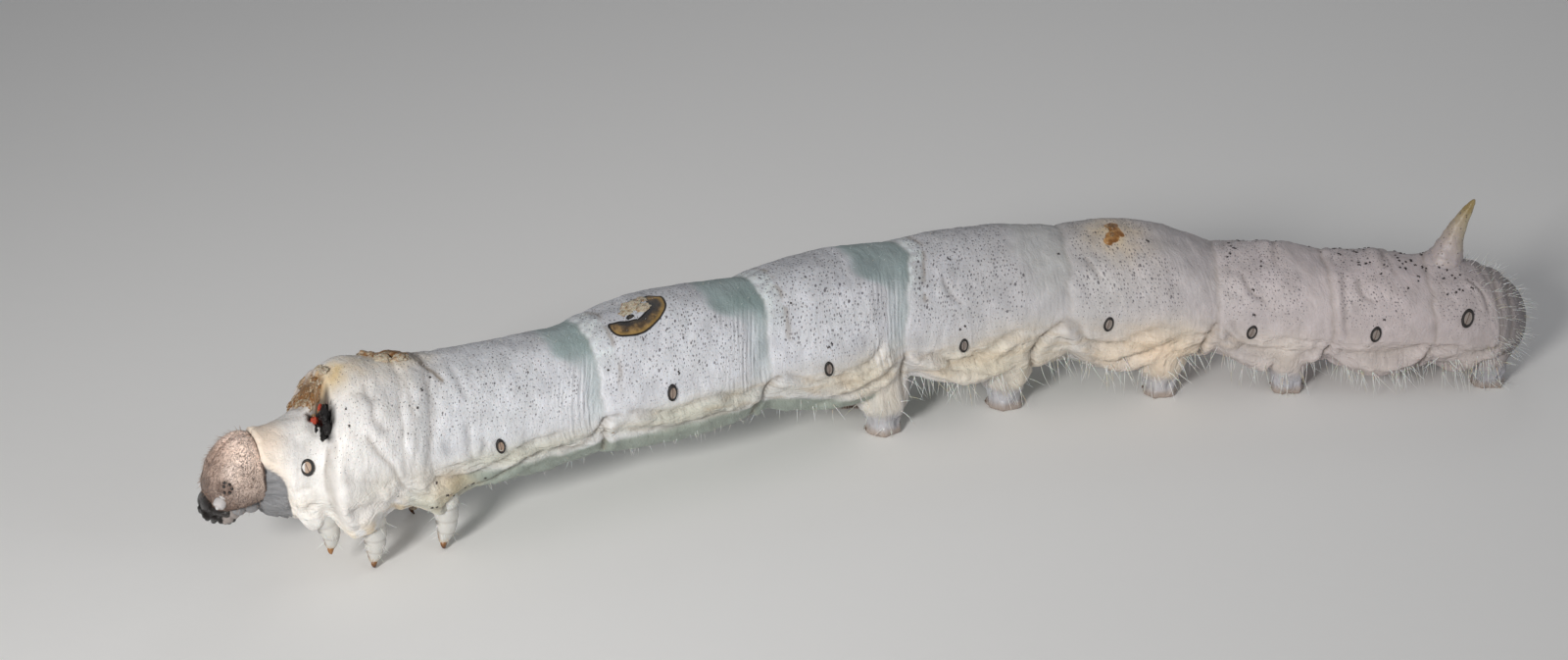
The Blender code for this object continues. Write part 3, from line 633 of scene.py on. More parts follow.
def skin_radius(along, angle):
    """The tube's radius, with its rings drawn to where the joints lie, and the narrower neck in front."""
    tube_along = np.clip(along, NECK_START, TAIL_START)
    ring, share = ring_share(tube_along, angle)
    turned = np.abs(angle)
    radius = np.interp(STARTS[ring] + share * LENGTHS[ring], fine_places, fine_radius)
    radius = radius * (1.0 - BELLY_FLATTENING * bell(turned - 180.0, BELLY_SPREAD)) + relief(along, angle)
    rim = rim_along(turned) + 0.1 * ripple(along * 0.0, angle, 1.0, 0.5, 12)
    neck = np.interp(along, NECK_PLACES, NECK_RADII) * (1.0 + 0.05 * ripple(along, angle, 0.8, 1.2, 13))
    low = rise(turned, 96.0, 20.0) * rise(along, -0.5, 0.5)
    neck += 0.07 * ridges(along, angle, 0.7, 0.5, 41) * rise(along, -0.7, 0.4)
    neck += low * (0.3 + 0.26 * np.sin(np.radians(angle) * 9.0 + 2.0 * ripple(along, angle, 0.9, 1.0, 17)))
    return neck + (radius - neck) * smooth((along - rim) / RIM_EASE)


# Prolegs: place along the spine, half the stance, radii of the thigh, the waist and the sole
PROLEGS = (
    (36.0, 2.1, 1.35, 0.96, 1.0),
    (44.1, 1.95, 1.4, 0.98, 1.05),
    (53.8, 1.95, 1.35, 0.96, 1.0),
    (61.2, 1.85, 1.2, 0.9, 0.95),
    (72.8, 1.5, 1.1, 0.9, 0.95),
)
PROLEG_REACH, PROLEG_KNEE, PROLEG_LENGTH = 1.35, 0.74, 4.0
# Heights over the floor, from the sole's middle out to where the thigh meets the body
PROLEG_SHARES = (0.0, 0.35, 0.4, 0.45, 0.5, 0.54, 0.59, 0.66, 0.7, 0.76, 0.85, 1.0)
PROLEG_HEIGHTS = (0.0, 0.0, 0.08, 0.36, 0.52, 0.66, 0.95, 1.3, 1.46, 1.75, 2.1, 3.0)
UP = np.array([0.0, 0.0, 1.0])


def proleg_places(along_spine, angle, points):
    """Draws the skin down to the floor round each proleg, and gives how far down each place is."""
    depth = np.zeros(len(points))
    for spot, stance, thigh, waist, sole in PROLEGS:
        middle, left, tailward = spine_frame(spot)
        plain = float(skin_radius(np.array([spot]), np.array([150.0]))[0])
        root_angle = 180.0 - math.degrees(math.asin(stance / plain))
        reach = thigh * PROLEG_REACH
        widths = (
            0.0, sole - 0.06, sole, 0.99 * sole, 0.97 * waist, waist, 1.08 * waist,
            0.57 * waist + 0.43 * thigh, 0.92 * thigh, 1.08 * thigh, 1.22 * thigh, reach
        )
        for sign in SIDES.values():
            foot = middle + left * (stance * sign)
            down_body = along_spine - spot
            inward = (angle * sign - root_angle) * math.radians(plain)
            away = np.hypot(down_body, inward)
            near = np.flatnonzero((away < reach) & (angle * sign > 60.0))
            share = away[near] / reach
            ring = np.stack([down_body[near], -inward[near]], axis=-1)
            ring = ring / np.maximum(away[near], 1e-6)[:, None]
            width = np.interp(share, PROLEG_SHARES, widths)
            height = np.interp(share, PROLEG_SHARES, PROLEG_HEIGHTS)
            turn = np.degrees(np.arctan2(ring[:, 1], ring[:, 0]))
            folds = ripple(height * 1.3, turn, 0.45, 2.6, 14 + spot)
            width = width + 0.16 * folds * rise(share, 0.0, 0.5) + 0.16 * ripple(height, turn, 0.6, 1.6, 15)
            out = ring[:, :1] * tailward + ring[:, 1:] * left * sign
            column = np.array([foot[0], foot[1], 0.0]) + out * width[:, None] + UP * height[:, None]
            mix = smooth((1.0 - share) / (1.0 - PROLEG_KNEE))
            points[near] += (column - points[near]) * mix[:, None]
            depth[near] = np.maximum(depth[near], mix * (1.0 - height / PROLEG_LENGTH))
    return depth


def skin_place(along, angle):
    """Points of the skin, in millimetres in the model's frame, and how far down a proleg each one is."""
    turn = np.radians(angle)
    along_spine = along + joint_bow(np.clip(along, NECK_START, TAIL_START)) * np.sin(turn) ** 2
    centre, left = spine_point(along_spine)
    closing = np.sqrt(1.0 - ((along - TAIL_TURN) / (TAIL_END - TAIL_TURN)).clip(0.0, 1.0) ** 2)
    radius = skin_radius(along, angle) * closing
    points = centre + left * (radius * np.sin(turn))[:, None] + UP * (radius * np.cos(turn))[:, None]
    return points, proleg_places(along_spine, angle, points)


SKIN_ALONG, SKIN_AROUND, CROWD_PLACES = 575, 166, 4001


def crowded(low, high, count, crowd):
    """Places between two ends, closer together where crowd(place) is higher."""
    places = np.linspace(low, high, CROWD_PLACES)
    weight = np.cumsum(crowd(places))
    return np.interp(np.linspace(weight[0], weight[-1], count), weight, places)


def row_crowd(place):
    prolegs = sum(0.6 * bell(place - spot, 1.6) for spot, *_ in PROLEGS)
    return 1.0 + prolegs + 3.0 * bell(place - TAIL_END, 0.5) + 2.0 * bell(place - NECK_PLACES[0], 0.12)


def column_crowd(angle):
    return 1.0 + 1.1 * bell(np.abs(angle) - 150.0, 20.0)


row_places = crowded(NECK_PLACES[0], TAIL_END, SKIN_ALONG + 1, row_crowd)
column_angles = crowded(-180.0, 180.0, SKIN_AROUND + 1, column_crowd)

skin_bm = bmesh.new()
bmesh.ops.create_grid(skin_bm, x_segments=SKIN_ALONG, y_segments=SKIN_AROUND, size=1.0)
skin_rows = [round((vert.co.x + 1.0) / 2.0 * SKIN_ALONG) for vert in skin_bm.verts]
skin_columns = [round((vert.co.y + 1.0) / 2.0 * SKIN_AROUND) for vert in skin_bm.verts]
skin_along, skin_angle = row_places[skin_rows], column_angles[skin_columns]
skin_points, skin_depth = skin_place(skin_along, skin_angle)
for vert, place in zip(skin_bm.verts, skin_points):
    vert.co = place

# The bake map lays the skin out as three strips of its length, one above the other. The pattern map holds
# the same places in millimetres, for the fine lines and the specks.
STRIPS, STRIP_MARGIN = 3, 0.01
bake_map = skin_bm.loops.layers.uv.new("OFBake")
pattern_map = skin_bm.loops.layers.uv.new("skin_mm")


def bake_place(along, angle, strip):
    """A place of the bake map: each strip holds a third of the length."""
    third = (along - NECK_PLACES[0]) / (TAIL_END - NECK_PLACES[0]) * STRIPS - strip
    across = (strip + STRIP_MARGIN + (angle + 180.0) / 360.0 * (1.0 - 2 * STRIP_MARGIN)) / STRIPS
    return STRIP_MARGIN + third * (1.0 - 2 * STRIP_MARGIN), across


strip_rows = SKIN_ALONG / STRIPS
for face in skin_bm.faces:
    middle_row = sum(skin_rows[loop.vert.index] for loop in face.loops) / 4
    strip = min(int(middle_row / strip_rows), STRIPS - 1)
    for loop in face.loops:
        row, column = skin_rows[loop.vert.index], skin_columns[loop.vert.index]
        share = row / SKIN_ALONG * (TAIL_END - NECK_PLACES[0]) + NECK_PLACES[0]
        loop[bake_map].uv = bake_place(share, column / SKIN_AROUND * 360.0 - 180.0, strip)
        loop[pattern_map].uv = (row_places[row], column_angles[column] * ARC)

# Colours along the body: a warm white thorax, cool white middle and pinkish grey rear. They grow darker
# towards the tail, partly as painted shade where less light reaches.
TINT_PLACES = (0.0, 2.0, 7.0, 11.0, 20.0, 30.0, 40.0, 49.0, 58.0, 66.0, 72.0, 75.0)
TINTS_AND_TAIL_SHADE = np.array((
    (0.79, 0.67, 0.55), (0.83, 0.8, 0.755), (0.755, 0.735, 0.71), (0.63, 0.635, 0.65), (0.66, 0.665, 0.69),
    (0.63, 0.635, 0.66), (0.54, 0.535, 0.55), (0.47, 0.45, 0.445), (0.52, 0.465, 0.46), (0.51, 0.445, 0.44),
    (0.42, 0.37, 0.365), (0.21, 0.19, 0.19),
))
GREEN_BAND, PALE_BAND, GREY_BAND = (0.25, 0.318, 0.308), (0.53, 0.58, 0.595), (0.45, 0.45, 0.435)
YELLOW_FOLD, GREEN_BELLY = (0.72, 0.64, 0.49), (0.26, 0.3, 0.25)
NECK_GREY, HOOD_TAN = (0.2, 0.2, 0.205), (0.84, 0.7, 0.57)
STAIN_YELLOW, WOUND_BLACK, WOUND_RED = (0.7, 0.5, 0.22), (0.012, 0.01, 0.01), (0.6, 0.09, 0.05)
FRONT_FOLD, ORANGE_FOLD, TAN_STREAK = (0.52, 0.515, 0.425), (0.8, 0.62, 0.46), (0.5, 0.39, 0.26)
PROLEG_GREY, CREASE_SHADE, PALE_CRUST = (0.42, 0.42, 0.45), (0.22, 0.17, 0.12), (0.74, 0.79, 0.78)
SOLE_BROWN, SCAR_ORANGE, SCAR_UMBER = (0.33, 0.25, 0.19), (0.46, 0.25, 0.1), (0.2, 0.1, 0.04)

# How yellow the side folds are along the body, and the yellow stains round the wounds: place, and reach
FADE_PLACES = (0.0, 8.0, 14.0, 24.0, 36.0, 50.0, 60.0, 75.0)
FADES = (0.2, 0.5, 0.3, 0.45, 0.85, 0.8, 0.35, 0.12)
HALOS = ((8.0, -8.0, 1.9), (5.1, 8.0, 1.2), (51.0, 14.0, 1.7), (10.4, 124.0, 1.0))


def coated(tint, *coats):
    """Lays colours over a tint or a row of tints, each by its share or shares."""
    for colour, share in coats:
        tint = tint + (np.array(colour) - tint) * np.clip(share, 0.0, 1.0)[..., None]
    return tint


def skin_tint(along, angle, depth):
    """The colours of the skin, in the order they are laid on: rings, bands, folds, feet, dirt, wounds."""
    turned = np.abs(angle)
    ring, share = ring_share(along, angle)
    tint = np.stack([np.interp(along, TINT_PLACES, channel) for channel in TINTS_AND_TAIL_SHADE.T], axis=-1)
    blotch = ripple(along, angle, 2.2, 2.0, 21)
    mottle = ripple(along, angle, 0.6, 0.7, 22)
    tint = tint * (1.0 + 0.09 * blotch + 0.06 * mottle)[:, None]
    on_back = smooth((56.0 - turned + 6.0 * blotch) / 24.0)
    # Painted shade: the back of the front abdominal rings is darkened, as if less light fell on it
    painted_back_shade = fall(turned, 40.0, 46.0) * rise(along, 11.0, 6.0) * fall(along, 40.0, 8.0)
    tint = tint * (1.0 - 0.26 * painted_back_shade)[:, None]
    open_side = fall(turned, 104.0, 14.0)
    flakes = ripple(along, angle, 0.45, 0.35, 27)
    for past, band, groove, collar, collar_length, green, rings in joint_zones(along, angle):
        inside = smooth((past + band) / 0.35) * fall(past, 0.12, 0.12) * (band > 0.0)
        eased = smooth((past + band + 0.2) / 0.9) * fall(past, 0.12, 0.12) * (band > 0.0)
        if green < 0.5:
            tint = coated(tint, (GREY_BAND, min(2.6 * green, 0.65) * eased * fall(turned, 84.0, 40.0)))
            continue
        late = rise(past, -0.75, 0.3) * fall(past, 0.1, 0.1)
        behind = rise(past, 0.0, 0.15) * smooth((collar_length * 1.05 - past) / 0.15)
        crust = behind * rise(flakes, -0.02, 0.12) * fall(turned, 62.0, 24.0)
        tint = coated(
            tint, (PALE_BAND, 0.6 * inside * open_side),
            (GREEN_BAND, 0.92 * green * eased * on_back * (1.0 + 0.25 * blotch)),
            (GREEN_BAND, 0.38 * green * late * fall(turned, 92.0, 20.0)),
            (GREEN_BAND, 0.18 * green * behind * fall(turned, 66.0, 20.0)),
            (PALE_CRUST, (0.55 if green > 0.8 else 0.15) * crust)
        )
    rear_side = bell(share - 0.74, 0.22) * rise(turned, 76.0, 34.0) * (1.0 + 0.5 * mottle)
    rear_side = rear_side * rise(along, 28.0, 4.0) * fall(along, 58.0, 4.0)
    fold_angle = np.interp(along, FOLD_PLACES, (108.0, 110.0, 116.0))
    fold_spread = np.interp(along, FOLD_PLACES, (11.0, 12.0, 18.0))
    fold = bell(turned - fold_angle, fold_spread) * (0.35 + 0.65 * np.sin(np.pi * share))
    rear_fade = np.interp(along, FADE_PLACES, FADES)
    streaks = rise(ridges(along, angle, 3.4, 0.34, 39), 0.3, 0.35) * bell(turned - 112.0, 17.0)
    belly_from = np.interp(along, FOLD_PLACES, (117.0, 119.0, 136.0)) + 2.0 * blotch
    belly = smooth((turned - belly_from) / 5.0) * fall(depth, 0.12, 0.1)
    dirt = bell(turned - 138.0, 12.0) * fall(along, 12.5, 2.0) * rise(along, 3.6, 1.5)
    mouth = wound_mouth(along, angle)
    stain = fall(angle, 30.0, 25.0) * rise(angle, -60.0, 20.0) * rise(along, 3.3, 0.4)
    crusted = wound_crust(along, angle)
    charred = rise(ripple(along, angle, 0.45, 0.45, 29), -0.05, 0.22)
    tint = coated(
        tint, (YELLOW_FOLD, 0.5 * rear_side),
        (YELLOW_FOLD, fold * rear_fade * (0.75 + 0.5 * blotch)),
        (FRONT_FOLD, 0.85 * fold * fall(along, 34.0, 6.0) * rise(along, 9.0, 4.0)),
        (ORANGE_FOLD, 0.55 * fold * rise(along, 47.5, 2.0) * fall(along, 57.0, 2.0) * (0.8 + 0.8 * blotch)),
        (TAN_STREAK, 0.42 * streaks * rise(along, 12.0, 16.0) * fall(along, 60.0, 6.0)),
        (GREEN_BELLY, 0.9 * belly * rise(along, 9.5, 2.0) * fall(along, 58.0, 14.0)),
        (PROLEG_GREY, 0.85 * rise(depth, 0.6, 0.14)),
        (SOLE_BROWN, 0.75 * rise(depth, 0.86, 0.07)),
        (STAIN_YELLOW, 0.55 * dirt * rise(mottle, -0.25, 0.5)),
        (FRONT_FOLD, 0.9 * bell(turned - 134.0, 14.0) * rise(along, 7.2, 1.2) * fall(along, 12.5, 1.5)),
        (HOOD_TAN, 0.85 * fall(along, 2.0, 1.5) * fall(turned, 48.0, 26.0)),
        (NECK_GREY, smooth((rim_along(turned) + 0.05 - along) / 0.12)),
        (STAIN_YELLOW, 0.75 * stain * rise(mouth, -1.7, 0.9) * (0.7 + 0.5 * mottle)),
        (SCAR_ORANGE, 1.3 * crusted * rise(mottle, -0.3, 0.3)),
        (SCAR_UMBER, 1.3 * crusted * charred)
    )
    for spot, turn, reach in HALOS:
        halo = bell(np.hypot(along - spot, (angle - turn) * ARC), reach)
        tint = coated(tint, (STAIN_YELLOW, 0.55 * halo * (0.8 + 0.6 * mottle)))
    red = bell(np.hypot(along - 3.9, (angle - 19.0) * ARC), 0.36) * rise(mouth, 0.1, 0.1)
    tint = coated(tint, (WOUND_BLACK, rise(mouth, -0.12, 0.2)), (WOUND_RED, 1.5 * red))
    return np.clip(tint, 0.005, 1.0)


def painted_crease_shade(along, angle):
    """How much painted shade darkens the bottom of a crease or a joint groove, from 0 to 1."""
    shade_share = np.zeros(len(along))
    for place, turn in crease_sides(along, angle):
        for depth, width, lip, lip_width, dark, points in CREASES:
            near, side, down = line_distance(place, turn, points, 3 * width)
            fade = rise(down, 0.0, 0.1) * fall(down, 1.0, 0.1)
            shade_share[near] = np.maximum(shade_share[near], dark * fade * bell(side, 0.11))
    second_wave = 0.5 * COLLAR_WAVE * ripple(along, angle, 2.0, 0.6, 6)
    broken = rise(ripple(along, angle, 1.0, 0.7, 28), -0.25, 0.3)
    upper = fall(np.abs(angle), 80.0, 20.0)
    for past, band, depth, collar, collar_length, green, rings in joint_zones(along, angle):
        shade_share = np.maximum(
            shade_share,
            (0.12 + 2.5 * depth + (0.25 if green < 0.1 else 0.0)) * bell(past, 0.1)
            * fall(np.abs(angle), 120.0, 20.0)
        )
        second = past - collar_length * 1.05 - second_wave
        shade_share = np.maximum(
            shade_share, (1.0 if green > 0.5 else 0.15) * broken * upper * bell(second, 0.12)
        )
    return np.clip(shade_share, 0.0, 1.5)


def fine_lines(along, angle):
    """How strongly the skin is ringed with fine stretch lines."""
    strength = np.zeros(len(along))
    turned = np.abs(angle)
    for past, band, depth, collar, collar_length, green, rings in joint_zones(along, angle):
        zone = smooth((past + np.maximum(band, 1.6) + 1.6) / 1.4) * fall(past, -0.05, 0.3)
        strength = np.maximum(strength, max(rings, 0.12) * zone * fall(turned, 112.0, 12.0))
    return strength * (0.12 + 0.88 * rise(turned, 26.0, 26.0))


def specks(along, angle):
    """How thickly the skin is specked with dark dots."""
    turned = np.abs(angle)
    along_share = np.interp(
        along, (1.0, 5.0, 12.0, 30.0, 50.0, 60.0, 70.0, 74.0),
        (0.34, 0.48, 0.75, 1.0, 0.95, 0.85, 0.85, 0.65)
    )
    around_share = 0.25 + 0.75 * fall(turned, 104.0, 40.0)
    clear = np.ones(len(along))
    for past, band, depth, collar, collar_length, green, rings in joint_zones(along, angle):
        clear *= 1.0 - 0.9 * smooth((past + band + 0.3) / 0.5) * fall(past, 0.5, 0.4) * (band > 0.0)
    return along_share * around_share * clear


SCAR_LINE = ((20.1, 19), (20.8, 27), (21.8, 29), (22.6, 23), (23.0, 13), (22.8, 3))
SCAR_SHARES, SCAR_HALVES = (0.0, 0.12, 0.5, 0.9, 1.0), (0.2, 0.44, 0.52, 0.54, 0.36)
SCAB_SPOTS = ((51.05, 5, 0.42), (51.15, 12, 0.36), (50.85, 20, 0.4), (50.5, 24, 0.28), (51.4, 17, 0.22))


def scar_edge(along, angle):
    """How far inside the crescent scar's edge each place lies, in millimetres."""
    inside = np.full(len(along), -3.0)
    near, side, share = line_distance(along, angle, SCAR_LINE, 2.5)
    inside[near] = np.interp(share, SCAR_SHARES, SCAR_HALVES) - np.abs(side)
    patch = 0.26 - np.hypot(along - 21.3, (angle - 18.0) * ARC * 1.6)
    return np.maximum(inside, patch) + 0.07 * ripple(along, angle, 0.5, 0.5, 24)


def scar_side(along, angle):
    """How far towards the belly from the crescent's middle line each place near it lies."""
    across = np.zeros(len(along))
    near, side, share = line_distance(along, angle, SCAR_LINE, 2.5)
    across[near] = side
    return across


def scab_edge(along, angle):
    """How far inside the edge of the brown scab on the fifth ring each place lies."""
    gaps = [reach - np.hypot(along - spot, (angle - turn) * ARC) for spot, turn, reach in SCAB_SPOTS]
    return np.maximum(np.max(gaps, axis=0), -3.0) + 0.08 * ripple(along, angle, 0.35, 0.35, 25)


# Painted shade in the bottoms of the creases and joint grooves, laid over the skin's colours
crease_shade_at = painted_crease_shade(skin_along, skin_angle) * fall(wound_mouth(skin_along, skin_angle), -0.15, 0.2)
tint_at = coated(skin_tint(skin_along, skin_angle, skin_depth), (CREASE_SHADE, 0.62 * crease_shade_at))
mark_layers = {
    "fine_lines": fine_lines(skin_along, skin_angle) * (1.0 - skin_depth),
    "specks": specks(skin_along, skin_angle) * (1.0 - skin_depth),
    "scar": scar_edge(skin_along, skin_angle),
    "scar_side": scar_side(skin_along, skin_angle),
    "scab": scab_edge(skin_along, skin_angle),
    "wet": np.clip((skin_depth - 0.5) / 0.3, 0.0, 1.0),
    "waxy": wound_crust(skin_along, skin_angle),
    "slack": np.maximum(
        slackness(skin_along, skin_angle),
        rise(np.abs(skin_angle), 100.0, 14.0) * fall(skin_along, 12.0, 2.0)
    ),
}
tint_layer = skin_bm.verts.layers.float_color.new("tint")
for vert, tint in zip(skin_bm.verts, tint_at):
    vert[tint_layer] = (*tint, 1.0)
for name, values in mark_layers.items():
    layer = skin_bm.verts.layers.float.new(name)
    for vert, value in zip(skin_bm.verts, values):
        vert[layer] = float(value)
bmesh.ops.remove_doubles(skin_bm, verts=skin_bm.verts, dist=0.0005)

paint = Paint("skin", (0.76, 0.74, 0.74), 0.42, (0.18, 0.0006, (1.0, 0.75, 0.6)))
skin_map = paint.node("UVMap", "UV", uv_map="skin_mm")
skin_object = paint.node("TexCoord", "Object")

# Specks: one short dark dash in most cells of a loose net, fewer and fainter where the layer is low
speck_share = paint.times(paint.layer("specks"), 0.16)
cell_away, cell_random = paint.cells(paint.stretch(skin_map, 2.1, 1.5, 1.0), voronoi_dimensions="2D")
speck_size = paint.times(speck_share, paint.maths("POWER", cell_random["Red"], 3.0))
speck = paint.maths("LESS_THAN", cell_away, speck_size)
cell_away, cell_random = paint.cells(paint.stretch(skin_map, 6.4, 4.0, 1.0), voronoi_dimensions="2D")
small_size = paint.times(paint.times(speck_share, 1.95), cell_random["Green"])
small_speck = paint.maths("LESS_THAN", cell_away, small_size)
cloud = paint.noise(900.0, 5.0, skin_object, Roughness=0.6)
patches = paint.noise(320.0, 3.0, skin_object, Roughness=0.6)
skin_tints = paint.layer("tint", "Color")
lit_tints = paint.mix(skin_tints, (1.16, 1.16, 1.18), 1.0, "MULTIPLY")
dim_tints = paint.mix(skin_tints, (0.84, 0.84, 0.86), 1.0, "MULTIPLY")

# Scars: an olive brown crescent with a black edge on the second ring, an orange brown scab on the fifth
scar_layer, scar_across = paint.layer("scar"), paint.layer("scar_side")
scar_cloud = paint.step(paint.noise(2600.0, 4.0, skin_object), 0.38, 0.66)
scar_fill = paint.coats(
    paint.mix((0.085, 0.055, 0.03), (0.3, 0.19, 0.08), scar_cloud),
    ((0.045, 0.042, 0.04), paint.step(paint.noise(800.0, 3.0, skin_object), 0.48, 0.6), 0.8),
    ((0.4, 0.25, 0.07), paint.step(scar_across, 0.12, 0.34), 0.6),
    ((0.03, 0.03, 0.032), paint.step(scar_across, -0.02, -0.26), 0.85)
)
scar_core = paint.mix((0.012, 0.01, 0.009), scar_fill, paint.step(scar_layer, 0.08, 0.16))
scab_fill = paint.mix((0.22, 0.09, 0.02), (0.5, 0.27, 0.1), scar_cloud)
waxy_share = paint.times(paint.layer("waxy"), paint.maths("SUBTRACT", 1.0, scar_cloud))

# Fine relief: stretch lines round the body, a pebbled grain, and slack little wrinkles
line_warp = paint.noise(1.0, 2.0, paint.stretch(skin_map, 0.5, 0.12, 1.0), True)
line_place = paint.node("SeparateXYZ", "X", {"Vector": skin_map})
line_phase = paint.maths("MULTIPLY_ADD", line_warp, 14.0, paint.times(line_place, 22.0))
line_broken = paint.noise(1.0, 2.0, paint.stretch(skin_map, 2.2, 0.5, 1.0), True)
line_height = paint.times(paint.maths("SINE", line_phase), paint.step(line_broken, 0.38, 0.62))
line_height = paint.times(line_height, paint.layer("fine_lines"))
# The lines' colour follows their relief: painted shade in their troughs and a painted highlight on their
# crests
line_trough_shade = paint.step(paint.times(line_height, -1.0), 0.25, 0.85)
wrinkle = paint.noise(
    1.0, 6.0, paint.stretch(skin_map, 2.6, 1.3, 1.0), True, Roughness=0.55, Distortion=0.8
)
slack_net = paint.noise(1.0, 3.0, paint.stretch(skin_map, 0.9, 2.4, 1.0), True, Distortion=0.4)
slack_fold = paint.maths("ABSOLUTE", paint.maths("SUBTRACT", slack_net, 0.5))
slack_height = paint.times(paint.times(slack_fold, -1.0), paint.layer("slack"))
pebble = paint.node(
    "TexVoronoi", "Distance", {"Vector": skin_object, "Scale": 9000.0}, feature="SMOOTH_F1"
)
skin_bump = paint.bump(line_height, 0.6, 0.00003)
skin_bump = paint.bump(wrinkle, 0.6, 0.0001, skin_bump)
skin_bump = paint.bump(slack_height, 0.8, 0.00028, skin_bump)
paint.plug("Normal", paint.bump(pebble, 0.5, 0.00003, skin_bump))
dull = paint.maths("MULTIPLY_ADD", cloud, 0.25, 0.38)
paint.plug("Roughness", paint.maths("MULTIPLY_ADD", paint.layer("wet"), -0.3, dull, use_clamp=True))
paint.plug("Base Color", paint.coats(
    paint.mix(skin_tints, lit_tints, paint.step(cloud, 0.35, 0.75)),
    (dim_tints, paint.step(patches, 0.45, 0.72), 0.8),
    ((0.08, 0.07, 0.08), speck, 0.78),
    ((0.1, 0.09, 0.1), small_speck, 0.74),
    (scar_core, paint.step(scar_layer, -0.02, 0.03), 1.0),
    (scab_fill, paint.step(paint.layer("scab"), -0.02, 0.05), 1.0),
    ((0.1, 0.055, 0.025), waxy_share, 0.7),
    # painted shade in the stretch lines' troughs, then a painted highlight on their crests
    ((0.22, 0.23, 0.25), line_trough_shade, 0.26),
    ((0.86, 0.87, 0.9), paint.step(line_height, 0.15, 0.8), 0.3)
))

skin = add_object("skin", skin_bm, paint)
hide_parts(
    *[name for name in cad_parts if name.split("_")[0] in ("thorax", "abdomen", "proleg", "anal")]
)
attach(skin, "root")

# ---- breathing holes ----
# Nine on each side: a black horny rim round a pale plate of felted hairs, with a slit down its middle, set
# level with the skin.

# Place along the body and round it, half the length and half the width, lean of the top to the tail
BREATHING_HOLES = (
    (3.3, 68, 0.48, 0.31, -28), (13.7, 96, 0.45, 0.25, -4), (23.6, 87, 0.46, 0.26, 0),
    (33.0, 96, 0.45, 0.25, 0), (41.9, 100, 0.44, 0.26, 8), (49.3, 92, 0.44, 0.26, 15),
    (57.9, 98, 0.44, 0.27, 15), (64.9, 93, 0.46, 0.28, 12), (70.2, 73, 0.6, 0.29, 28),
)
FELT_TAN, FELT_GREY = (0.56, 0.41, 0.3), (0.33, 0.29, 0.265)
# Radius as a share of the whole, and height over the skin in millimetres, from the rim's foot to the slit
HOLE_PROFILE = (
    (1.1, -0.16), (1.04, 0.01), (0.97, 0.05), (0.84, 0.07), (0.72, 0.03), (0.66, -0.03), (0.5, -0.01),
    (0.2, 0.0), (0.1, 0.0)
)
HOLE_LIFT, HOLE_SIDES, HOLE_FRAME = 0.05, 32, 1.1


def units(vectors):
    """A row of vectors, each made one long."""
    return vectors / np.linalg.norm(vectors, axis=1, keepdims=True)


def skin_frames(along, angle, reach):
    """Places on the skin, with the directions out of it, towards the tail and round towards the belly."""
    turn = reach / ARC
    tailward = units(skin_place(along + reach, angle)[0] - skin_place(along - reach, angle)[0])
    around = units(skin_place(along, angle + turn)[0] - skin_place(along, angle - turn)[0])
    out = units(np.cross(around, tailward))
    return skin_place(along, angle)[0], out, tailward, around


def add_rod(bm, centres, radii, sides, across, squash=1.0):
    """A closed rod along a line of centres. Gives its vertices with their share of the length and turn."""
    count, old = len(centres), len(bm.verts)
    bmesh.ops.create_cone(
        bm, cap_ends=True, cap_tris=True, segments=sides, radius1=1.0, radius2=1.0, depth=1.0
    )
    bm.verts.ensure_lookup_table()
    made = {edge for vert in bm.verts[old:] for edge in vert.link_edges}
    lengthwise = [edge for edge in made if abs(edge.verts[0].co.z - edge.verts[1].co.z) > 0.5]
    bmesh.ops.subdivide_edges(bm, edges=lengthwise, cuts=count - 2)
    bm.verts.ensure_lookup_table()
    centres = np.array(centres, float)
    runs = units(np.gradient(centres, axis=0))
    sideways = units(across - runs * (runs @ across)[:, None])
    upright = np.cross(runs, sideways)
    laid = []
    for vert in bm.verts[old:]:
        station, x, y = round((vert.co.z + 0.5) * (count - 1)), vert.co.x, vert.co.y
        laid.append((vert, station / (count - 1), x, y))
        offset = sideways[station] * x + upright[station] * (y * squash)
        vert.co = centres[station] + offset * radii[station]
    return laid


hole_bm = bmesh.new()
hole_layer = hole_bm.verts.layers.float_vector.new("plate")
felt_layer = hole_bm.verts.layers.float_color.new("felt")
hole_along, hole_angle, hole_long, hole_wide, hole_lean = np.array(BREATHING_HOLES).T
flat = [(0.0, 0.0, float(index)) for index in range(len(HOLE_PROFILE))]
spreads, lifts = np.array(HOLE_PROFILE).T
felts = coated(FELT_TAN, (FELT_GREY, rise(hole_along, 2.0, 36.0)))
for sign in SIDES.values():
    places, outs, tails, rounds = skin_frames(hole_along, hole_angle * sign, HOLE_FRAME)
    leans = np.radians(hole_lean * sign)[:, None]
    long_runs = rounds * np.cos(leans) - tails * np.sin(leans)
    wide_runs = tails * np.cos(leans) + rounds * np.sin(leans)
    for place, out, tail, around, long_half, wide_half, felt in zip(
        places, outs, wide_runs, long_runs, hole_long, hole_wide, felts
    ):
        for vert, share, x, y in add_rod(hole_bm, flat, spreads, HOLE_SIDES, np.array([1.0, 0.0, 0.0])):
            station = round(share * (len(flat) - 1))
            spread = spreads[station]
            vert[hole_layer] = (x * spread, y * spread, 0.0)
            vert[felt_layer] = (*felt, 1.0)
            across = around * (x * long_half) - tail * (y * wide_half)
            vert.co = place + out * (lifts[station] + HOLE_LIFT) + across * spread

